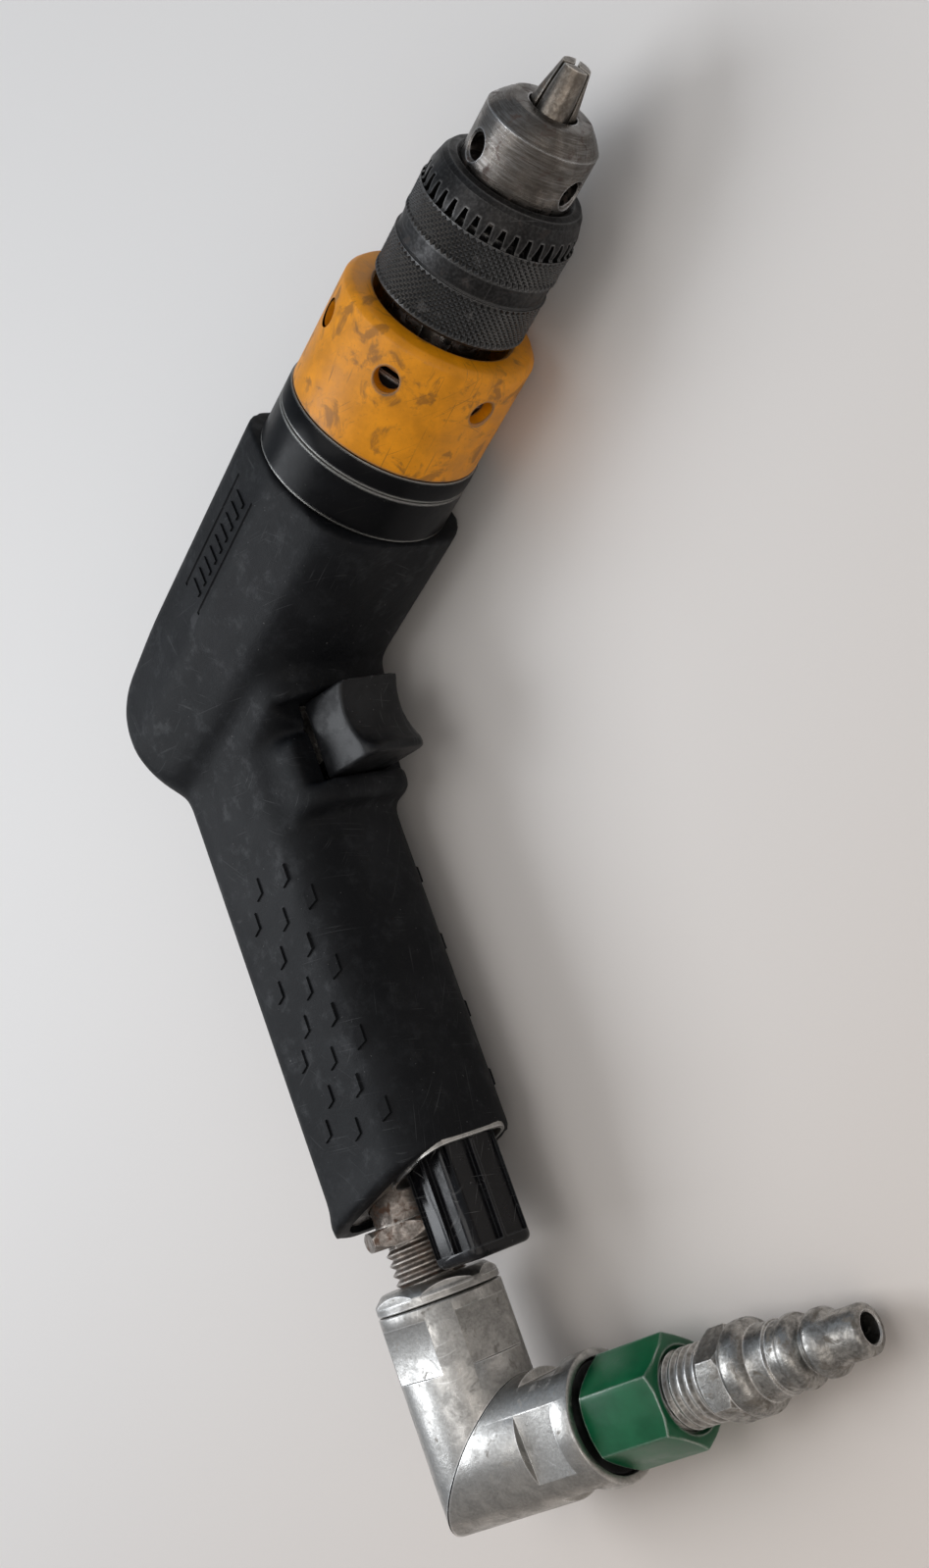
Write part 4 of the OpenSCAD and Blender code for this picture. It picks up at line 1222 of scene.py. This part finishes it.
@dataclass
class Chuck(Assembly):
    """Keyed chuck: knurled sleeve with its crown of teeth, nose and jaws."""

    knurls: int = 72
    teeth: int = 36
    sleeve_r: float = 17.0
    nose_r: float = 12.15
    key_r: float = 2.75
    jaw_r: float = 3.3
    tip_half: float = 3.0

    def __post_init__(self) -> None:
        """Reads the stations from the frame."""
        self.low, self.high = (v / MM for v in self.layout.span("chuck_sleeve", self.layout.barrel))
        self.rear, self.nose = (v / MM for v in self.layout.span("chuck_body", self.layout.barrel))
        self.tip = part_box("chuck_jaw_1")[1].x / MM
        self.turned_jaws = []
        for axis in self.layout.jaws:
            slope = math.acos(-axis.x)
            out = Vector((0, axis.y, axis.z)).normalized()
            self.turned_jaws.append((slope, out, -axis))

    def build(self) -> None:
        """Makes the sleeve, the nose and the jaws."""
        self._sleeve()
        self._nose()
        for i in range(3):
            self._jaw(i)

    def _knurl(self, obj: bpy.types.Object, low: float, high: float, rows: int) -> None:
        """Presses diamonds into a band of a turned mesh.

        Args:
            obj: the mesh; the band has `rows` equal steps.
            low: the band's lower end in millimetres.
            high: its upper end.
            rows: steps along the band.
        """
        step = (high - low) / rows
        for v in obj.data.vertices:
            r = math.hypot(v.co.x, v.co.y)
            row = (v.co.z / MM - low) / step
            if r > (self.sleeve_r - 1) * MM and 0.5 < row < rows - 0.5:
                column = round(math.atan2(v.co.y, v.co.x) / math.pi * self.knurls)
                if (column + round(row)) % 2:
                    v.co.xy *= 1 - 0.62 * MM / r

    def _sleeve(self) -> None:
        """The sleeve with two knurled bands, shoulder and crown."""
        r, z = self.sleeve_r, self.low
        bands = ((z + 1.2, z + 10.7, 14), (z + 15.3, z + 22.3, 10))
        outer = [(14.3, z), (r - 1.5, z), (r - 0.55, z + 0.55)]
        for low, high, rows in bands:
            outer += [(r - 0.25, low - 0.02)]
            outer += [(r, low + (high - low) * i / rows) for i in range(rows + 1)]
            outer += [(r - 0.3, high + 0.02), (r - 0.55, high + 0.35)]
        shoulder, top = self.high - 4.4, self.high
        outer += [(r - 0.45, shoulder - 2.0), (r - 0.5, shoulder - 0.6), (r - 0.7, shoulder), (r - 1.0, shoulder + 1.1),
                  (r - 1.5, shoulder + 2.9), (r - 2.3, top - 0.35), (self.nose_r + 0.9, top), (12.2, top - 0.5),
                  (12.2, shoulder - 3), (14.3, shoulder - 3.5)]
        sleeve = Modeller.lathe(outer, 2 * self.knurls)
        for low, high, rows in bands:
            self._knurl(sleeve, low, high, rows)
        Modeller.edit(sleeve)
        bpy.ops.mesh.quads_convert_to_tris(quad_method="SHORTEST_DIAGONAL")
        bpy.ops.object.mode_set(mode="OBJECT")
        Modeller.combine(sleeve, self._crown_gaps(), own=True)
        self.keep(sleeve, "knurled_sleeve", "phosphated_steel", "sleeve", self.layout.barrel, "chuck_sleeve", smooth=18)

    def _crown_gaps(self) -> bpy.types.Object:
        """Wedges that cut the crown's bevel teeth.

        Returns:
            All the wedges as one object.
        """
        wedge = Modeller.loft([(-0.36, 0), (0.36, 0), (0.98, 3.6), (-0.98, 3.6)], 8, 1.2)
        tilt = Axes(Vector((11.2, 0, self.high - 1.7)) * MM, Vector((0.88, 0, -0.475)), Vector((0, -1, 0)))
        wedge.data.transform(tilt.matrix())
        parts = [Modeller.copy(wedge, Matrix.Rotation(2 * math.pi * i / self.teeth, 4, "Z")) for i in range(self.teeth)]
        bpy.data.objects.remove(wedge)
        return Modeller.merge(*parts)

    def _nose(self) -> None:
        """The chuck's body with its nose, key holes and jaw ways."""
        r, end, seat = self.nose_r, self.nose, self.high - 13.6
        ridges = [(r, end - 3.95), (r - 0.28, end - 3.6), (r - 0.62, end - 3.2), (r - 0.8, end - 2.9),
                  (r - 1.3, end - 2.35), (r - 1.42, end - 2.15), (r - 2.1, end - 1.5), (r - 2.22, end - 1.3),
                  (r - 2.95, end - 0.62), (r - 3.3, end - 0.2), (r - 3.8, end)]
        body = Modeller.lathe([
            (4.76, self.rear), (12.3, self.rear), (12.5, self.rear + 0.2), (12.5, self.low + 0.4),
            (14.25, self.low + 1.6), (14.25, seat), (9.4, seat), (9.4, seat + 6.6), (r - 0.05, seat + 6.6),
            (r - 0.05, self.high - 0.4), (r, self.high)] + ridges + [(5.3, end), (5.3, self.rear + 15),
            (4.76, self.rear + 14.5)], 144)
        for i, (slope, out, forward) in enumerate(self.turned_jaws):
            bore = Modeller.cylinder(self.jaw_r + 0.06, -80, 12, 48)
            bore.data.transform(self._jaw_axes(i).matrix())
            Modeller.combine(body, bore)
        for hole in self.layout.key_holes:
            x, axis = hole["pos_m"][0], Vector(hole["axis"])
            drill = Modeller.merge(Modeller.cylinder(self.key_r, r - 6, 20, 40))
            rim = Modeller.lathe([(0, r - 0.75), (self.key_r, r - 0.75), (self.key_r + 0.7, r + 0.1), (0, r + 0.1)], 40)
            for tool in (drill, rim):
                tool.data.transform(Axes(Vector((0, 0, x)), Vector((axis.y, axis.z, 0)), Vector((0, 0, 1))).matrix())
                Modeller.combine(body, tool)
        self.keep(body, "chuck_nose", "chuck_nose_steel", "spindle", self.layout.barrel, "chuck_body")

    def _jaw_axes(self, i: int) -> Axes:
        """Frame of a jaw in the barrel's frame.

        Args:
            i: which jaw.

        Returns:
            The frame, its z forward along the jaw.
        """
        slope, out, forward = self.turned_jaws[i]
        side = Vector((out.y, out.z, 0))
        origin = (side * (self.tip_half - self.jaw_r / math.cos(slope)) + Vector((0, 0, self.tip))) * MM
        return Axes(origin, Vector((forward.y, forward.z, forward.x)), side)

    def _jaw(self, i: int) -> None:
        """One jaw: a slanted rod with a wedge-shaped gripping edge.

        Args:
            i: which jaw.
        """
        axes, (slope, out, _) = self._jaw_axes(i), self.turned_jaws[i]
        rod = Modeller.lathe([(0, -36.5), (self.jaw_r - 0.4, -36.5), (self.jaw_r, -36), (self.jaw_r, 3), (0, 3)], 64)
        rod.data.transform(axes.matrix())
        wedge = Modeller.loft([(0.62, -0.3), (0.62, 0.3), (20, 33), (20, -33)], 42)
        side = Vector((out.y, out.z, 0))
        wedge.data.transform(Axes(Vector((0, 0, (self.tip - 42) * MM)), Vector((0, 0, 1)), side).matrix())
        Modeller.combine(rod, wedge, Solver.KEEP)
        shell = Modeller.lathe([(0, -43), (9.2, -43), (9.2, -18), (12, -18), (12, -8), (4.1, -1.1), (3.3, -0.05),
                                (0, -0.05)], 72)
        shell.data.transform(Matrix.Translation((0, 0, self.tip * MM)))
        Modeller.combine(rod, shell, Solver.KEEP)
        Modeller.soften(rod, 0.22, 30, 2)
        self.keep(rod, f"gripping_jaw_{i + 1}", "jaw_steel", f"jaw_{i + 1}", self.layout.barrel, f"chuck_jaw_{i + 1}")


@dataclass
class Controls(Assembly):
    """Trigger and exhaust."""

    trigger_s: float = 22.5
    lat: float = 34.5
    reach: float = 14.5
    height: float = 18.0
    width: float = 17.0
    foot: float = 126.5
    exhaust_lat: float = 19.5

    def build(self) -> None:
        """Makes the trigger and the exhaust deflector."""
        half, top = self.height / 2, self.lat + self.reach
        blade = Modeller.block((self.lat - 4, -self.width / 2, -half), (top, self.width / 2, half), 3.5, 8)
        hollow = Modeller.lathe([(0, -12), (13.2, -12), (12.2, -6), (12, 0), (12.2, 6), (13.2, 12), (0, 12)], 160)
        hollow.data.transform(Matrix.Translation(((top + 8.2) * MM, 0, -1.6 * MM)) @ Matrix.Rotation(math.pi / 2, 4, "X"))
        Modeller.combine(blade, hollow)
        Modeller.blend(blade, 0.4, 22)
        bore = Modeller.cylinder(2.05, self.lat - 6, self.lat + 4, 32)
        bore.data.transform(Axes(Vector((0, 0, 6.5 * MM)), Vector((1, 0, 0)), Vector((0, 1, 0))).matrix())
        Modeller.combine(blade, bore)
        self.keep(blade, "trigger_blade", "trigger_plastic", "trigger", self.layout.grip.at(self.trigger_s * MM),
                  "trigger", smooth=40)
        self._deflector()

    def _deflector(self) -> None:
        """The exhaust outlet with long channels between thin ribs."""
        body = Modeller.block((-8, -9, 0), (8, 9, 26), 3.5, 8)
        Modeller.soften(body, 1.6, 60, 5)
        Modeller.combine(body, Modeller.block((-5, -6, -1), (5, 6, 13), 2))
        channels = Modeller.block((-6.4, -7.4, -1), (12, 12, 23.4))
        floor = Modeller.block((-10, -10, -2), (6.6, 7.6, 25), 2.6, 6)
        ribs = (Modeller.block((-0.5, 0, -2), (0.5, 20, 25)), Modeller.block((0, -0.5, -2), (20, 0.5, 25)))
        for tool in (floor, *ribs):
            Modeller.combine(channels, tool)
        Modeller.combine(body, channels)
        Modeller.soften(body, 0.4, 40, 3)
        self.keep(body, "exhaust_outlet", "deflector_plastic", "housing",
                  self.layout.grip.at((self.foot - 13) * MM, self.exhaust_lat * MM), "exhaust_deflector", smooth=40)


@dataclass
class Inlet(Assembly):
    """Bushing, stud, two-axis swivel, hose adapter and air plug."""

    foot: float = 126.5
    swivel_r: float = 14.45
    spigot_r: float = 5.5
    hole_r: float = 3.2
    pivot_r: float = 7.0
    outlet_l: float = 35.5

    def build(self) -> None:
        """Makes the pieces from the grip's foot to the plug."""
        self._bushing()
        self._upper()
        self._lower()
        self._adapter()
        self._plug()

    def _hexagon(self, flats: float, low: float, high: float, turn: float, chamfer: float = 0.8) -> bpy.types.Object:
        """A hexagon with turned corners.

        Args:
            flats: size across flats.
            low: lower end in millimetres.
            high: upper end.
            turn: turn of a corner from x, in degrees.
            chamfer: axial size of the corner chamfers.

        Returns:
            The solid.
        """
        r = flats / 2
        hexagon = Modeller.cylinder(flats / math.sqrt(3), low, high, 6)
        hexagon.data.transform(Matrix.Rotation(math.radians(turn - 90), 4, "Z"))
        round_off = Modeller.lathe([(0, low), (r + 0.1, low), (r * 1.165, low + chamfer), (r * 1.165, high - chamfer),
                                    (r + 0.1, high), (0, high)], 96)
        Modeller.combine(hexagon, round_off, Solver.KEEP)
        return Modeller.soften(hexagon, 0.3, 40, 2)

    def _bushing(self) -> None:
        """The bushing in the grip's foot and the stud that screws into it."""
        bush = self._hexagon(22, 0, 4.5, 30, 1.5)
        Modeller.combine(bush, Modeller.cylinder(8.6, -14, 0.2), Solver.JOIN)
        Modeller.combine(bush, Modeller.cylinder(7.65, -20, 10))
        self.keep(bush, "inlet_hex", "rusty_steel", "housing", self.layout.grip.at(self.foot * MM), "inlet_bushing")
        stud = Modeller.lathe([(3.2, -11), (7.55, -11), (7.55, 4.3), (7.0, 4.6), (7.0, 13.7), (5.5, 13.9), (5.5, 32.5),
                               (7.5, 32.5), (7.5, 35), (3.2, 35)], 96)
        thread = Modeller.thread(8.2, 1.05, 2.2, 4.6, 13.6)
        Modeller.combine(thread, Modeller.cylinder(6.4, 0, 20))
        stud = Modeller.merge(stud, thread)
        self.keep(stud, "inlet_stud", "rusty_steel", "housing", self.layout.grip.at(self.foot * MM), "swivel_stud")

    def _oblique_cutter(self, side: int, gap: float = 0.0) -> bpy.types.Object:
        """A large block that ends on the oblique plane.

        Args:
            side: 1 covers the outlet's side of the plane, -1 the other.
            gap: distance of its face past the plane, in millimetres.

        Returns:
            The block in the row frame.
        """
        low, high = ((-60, -60, gap), (60, 60, 120)) if side > 0 else ((-60, -60, -120), (60, 60, gap))
        block = Modeller.block(low, high)
        block.data.transform(self.layout.oblique.matrix())
        return block

    def _flats(self, obj: bpy.types.Object, turn: float, low: float, high: float) -> None:
        """Mills four wrench flats.

        Args:
            obj: the turned piece, in its own frame.
            turn: turn of the first flat, in degrees.
            low: where they start in millimetres.
            high: where they end.
        """
        for i in range(4):
            flat = Modeller.block((self.swivel_r - 2.1, -20, low), (self.swivel_r + 9, 20, high))
            flat.data.transform(Matrix.Rotation(math.radians(turn + 90 * i), 4, "Z"))
            Modeller.combine(obj, flat)

    def _upper(self) -> None:
        """The swivel's collar and upper half."""
        r, start = self.swivel_r, self.foot + 14
        axes = self.layout.grip.at(start * MM)
        collar = Modeller.lathe([(5.6, 0), (r - 2.6, 0), (r - 2.2, 0.15), (r - 0.3, 1.95), (r - 0.1, 2.3), (r - 0.1, 4.1),
                                 (r - 0.3, 4.3), (8.5, 4.3), (8.5, 3.6), (5.6, 3.6)], 144)
        for i in range(6):
            flat = Modeller.block((r - 1.5, -20, -1), (r + 9, 20, 2.7))
            flat.data.transform(Matrix.Rotation(math.radians(60 * i + 30), 4, "Z"))
            Modeller.combine(collar, flat)
        self.keep(collar, "swivel_ring", "aluminium", "swivel", axes, "swivel_collar")
        upper = Modeller.lathe([(0, 4.6), (r - 0.35, 4.6), (r, 4.95), (r, 62), (0, 62)], 144)
        self._flats(upper, 90, 7.6, 19.6)
        Modeller.soften(upper, 0.25, 25, 2)
        hollow = Modeller.lathe([(0, 0), (self.spigot_r + 0.05, 0), (self.spigot_r + 0.05, 14.1), (7.8, 14.1),
                                 (7.8, 28), (self.hole_r, 28), (self.hole_r, 80), (0, 80)], 64)
        Modeller.combine(upper, hollow)
        upper.data.transform(axes.matrix())
        Modeller.combine(upper, self._oblique_cutter(1))
        pivot = Modeller.cylinder(self.pivot_r + 0.05, -3.2, 6)
        pivot.data.transform(self.layout.oblique.matrix())
        Modeller.combine(upper, pivot)
        self.keep(upper, "swivel_upper_half", "aluminium", "swivel", None, "swivel_upper")

    def _lower(self) -> None:
        """The swivel's lower half with its seal recess."""
        r, end = self.swivel_r, self.outlet_l
        lower = Modeller.lathe([(0, -40), (r, -40), (r, end - 0.7), (r - 0.2, end - 0.2), (r - 0.7, end), (r - 1.8, end),
                                (r - 2, end - 0.2), (r - 2, end - 4.5), (7.8, end - 4.5), (7.8, end - 16),
                                (self.hole_r, end - 16), (self.hole_r, 0), (0, 0)], 144)
        self._flats(lower, 90, end - 15.4, end - 4.9)
        Modeller.soften(lower, 0.2, 28, 2)
        lower.data.transform(self.layout.outlet.matrix())
        Modeller.combine(lower, self._oblique_cutter(-1, 0.3))
        pivot = Modeller.cylinder(self.pivot_r, -1, 4)
        pivot.data.transform(self.layout.oblique.matrix())
        Modeller.combine(lower, pivot)
        self.keep(lower, "swivel_lower_half", "aluminium", "outlet", None, "swivel_lower")
        seal = Modeller.lathe([(8.2, end - 4.5), (r - 2.05, end - 4.5), (r - 2.05, end - 1.6), (r - 2.6, end - 0.9),
                               (9.6, end - 0.9), (8.2, end - 1.4)], 96)
        self.keep(seal, "end_seal", "seal_rubber", "outlet", self.layout.outlet, "outlet_seal")

    def _adapter(self) -> None:
        """The green hexagon adapter."""
        start = self.outlet_l + 1
        body = self._hexagon(22, start, start + 20, 0, 1.1)
        Modeller.combine(body, Modeller.cylinder(7.8, self.outlet_l - 15, start + 1), Solver.JOIN)
        Modeller.combine(body, Modeller.lathe([(0, start + 9), (8.4, start + 9), (8.4, start + 19), (9.3, start + 20),
                                               (9.3, start + 21), (0, start + 21)], 64))
        Modeller.combine(body, Modeller.cylinder(self.hole_r, 0, start + 12))
        self.keep(body, "hose_adapter", "green_finish", "outlet", self.layout.outlet, "adapter")

    def _plug(self) -> None:
        """The turned plug that a coupler grips."""
        axes, tip = self.layout.outlet, self.layout.plug_tip / MM + 1.2
        back = [(31.2, 5.6), (31.2, 9.0), (30.9, 9.35), (30.2, 9.8), (29.6, 9.9), (27.8, 9.9), (27.2, 9.75), (26.2, 9.1),
                (25.8, 8.5), (25.5, 7.9), (25.1, 7.7), (21.2, 7.7), (20.7, 7.2), (18.9, 7.1), (18.2, 7.3), (17.6, 7.7),
                (16.5, 7.7), (15.7, 7.45), (14.9, 6.9), (14.3, 5.6), (14.0, 5.05), (13.1, 5.0), (12.8, 5.6), (12.3, 6.4),
                (11.5, 6.95), (10.9, 7.0), (9.9, 7.0), (9.2, 6.85), (8.3, 6.2), (7.5, 5.6), (7.0, 5.28), (1.2, 5.28),
                (0.6, 5.1), (0.2, 4.7), (0.0, 4.2), (0.0, 3.5), (0.3, 3.2), (56, 3.2), (56, 5.6)]
        plug = Modeller.lathe([(r, tip - back_from) for back_from, r in back], 128)
        hexagon = self._hexagon(17.4, tip - 37.2, tip - 30.9, 0, 1.2)
        Modeller.combine(hexagon, Modeller.cylinder(5, tip - 40, tip - 20))
        thread = Modeller.thread(8.4, 0.95, 2.1, tip - 56.4, tip - 37.2)
        Modeller.combine(thread, Modeller.cylinder(5, tip - 60, tip - 20))
        self.keep(Modeller.merge(plug, hexagon, thread), "air_nipple", "zinc_plate", "outlet", axes, "air_plug")


# --------------------------------------------------------------------------- studio


@dataclass
class Studio:
    """Floor, light and camera."""

    eye: tuple[float, float, float] = (0.21749, -0.26041, 0.31744)
    right: tuple[float, float, float] = (0.4458, -0.5511, -0.7054)
    up: tuple[float, float, float] = (0.6854, 0.7170, -0.1271)
    lens: float = 49.53
    floor_colour: tuple[float, float, float] = (0.68, 0.675, 0.67)

    def build(self, low: Vector, high: Vector) -> None:
        """Sets everything up round the object.

        Args:
            low: lowest corner of the object.
            high: highest corner.
        """
        self._floor((low + high) / 2, low.z)
        self._lights((low + high) / 2)
        self._camera()
        bpy.context.scene.view_settings.view_transform = "Standard"
        world = bpy.data.worlds.new("room")
        bpy.context.scene.world = world
        world.use_nodes = True
        shade = Shader(world.node_tree)
        back = world.node_tree.nodes["Background"]
        way = shade.add("ShaderNodeSeparateXYZ", Vector=shade.add("ShaderNodeTexCoord").outputs["Generated"])
        sky = shade.blend(shade.window(way.outputs["Y"], -0.8, 0.9), (0.85, 0.80, 0.76, 1), (0.72, 0.80, 0.90, 1))
        shade.put(back.inputs["Color"], shade.blend(shade.window(way.outputs["Z"], -0.3, 0.4), (0.2, 0.19, 0.18, 1), sky))
        back.inputs["Strength"].default_value = 0.46

    def _floor(self, centre: Vector, height: float) -> None:
        """A pale matt sheet, with painted shade that turns it darker and warmer towards −y.

        Args:
            centre: middle of the object.
            height: where the object touches it.
        """
        bpy.ops.mesh.primitive_plane_add(size=6, location=(0, 0, 0))
        floor = bpy.context.active_object
        floor.data.transform(Matrix.Translation((centre.x, centre.y, height - 0.0001)))
        floor.name = "floor"
        mat = bpy.data.materials.new("floor_sheet")
        mat.use_nodes = True
        s = Shader(mat.node_tree)
        surface = mat.node_tree.nodes["Principled BSDF"]
        where = s.add("ShaderNodeTexCoord").outputs["Object"]
        broad = s.add("ShaderNodeTexNoise", Vector=where, Scale=3.0, Detail=3.0, Roughness=0.5).outputs["Fac"]
        floor_tone_and_shade = s.blend(s.window(broad, 0.3, 0.7), (*self.floor_colour, 1), (0.69, 0.68, 0.67, 1))
        # Painted shade: the sheet turns darker and warmer towards −y, away from the key lamp.
        across = s.add("ShaderNodeSeparateXYZ", Vector=where).outputs["Y"]
        floor_tone_and_shade = s.blend(s.window(across, 0.1, -0.42), floor_tone_and_shade, (0.63, 0.55, 0.485, 1))
        s.put(surface.inputs["Base Color"], floor_tone_and_shade)
        surface.inputs["Roughness"].default_value = 0.55
        s.put(surface.inputs["Normal"], s.bump(s.noise(1.6, 4, 0.6), 0.03))
        floor.data.materials.append(mat)

    def _lights(self, centre: Vector) -> None:
        """Large soft lamps.

        Args:
            centre: what they face.
        """
        lamps = (("key", (-0.75, 0.62, 0.85), 0.7, 8.4, (0.93, 0.96, 1.0)),
                 ("fill", (0.55, -0.75, 0.75), 0.9, 2.2, (1.0, 0.93, 0.86)),
                 ("top", (0.1, 0.1, 1.1), 0.7, 2.8, (1.0, 0.98, 0.96)))
        for name, at, size, power, colour in lamps:
            data = bpy.data.lights.new(name, "AREA")
            data.shape, data.size, data.energy, data.color = "SQUARE", size, power, colour
            lamp = bpy.data.objects.new(name, data)
            bpy.context.scene.collection.objects.link(lamp)
            lamp.location = centre + Vector(at)
            lamp.rotation_mode = "QUATERNION"
            lamp.rotation_quaternion = (-Vector(at)).to_track_quat("-Z", "Y")

    def _camera(self) -> None:
        """The camera at the object's usual view."""
        data = bpy.data.cameras.new("camera")
        data.lens, data.sensor_fit, data.sensor_width = self.lens, "AUTO", 36
        data.clip_start, data.clip_end = 0.01, 20
        camera = bpy.data.objects.new("camera", data)
        bpy.context.scene.collection.objects.link(camera)
        right, up = Vector(self.right).normalized(), Vector(self.up).normalized()
        turn = Matrix((right, up, right.cross(up))).transposed()
        camera.matrix_world = Matrix.Translation(self.eye) @ turn.to_4x4()
        bpy.context.scene.camera = camera


def main() -> None:
    """Builds the scene."""
    record = frame["record"]
    fx = Effects()
    paints = {f.slot: f.build(fx) for f in FINISHES}
    slots = {p["node"]: p["material_slot"] for p in record["subparts"]}
    for name, node in frame["nodes"].items():
        node.data.materials.clear()
        node.data.materials.append(paints[slots[name]])
    layout = Layout(record)
    for kind in (Cover, GearHead, Chuck, Controls, Inlet):
        kind(layout, paints).build()
    Studio().build(*CAD_BOX)


if __name__ == "__main__":
    main()
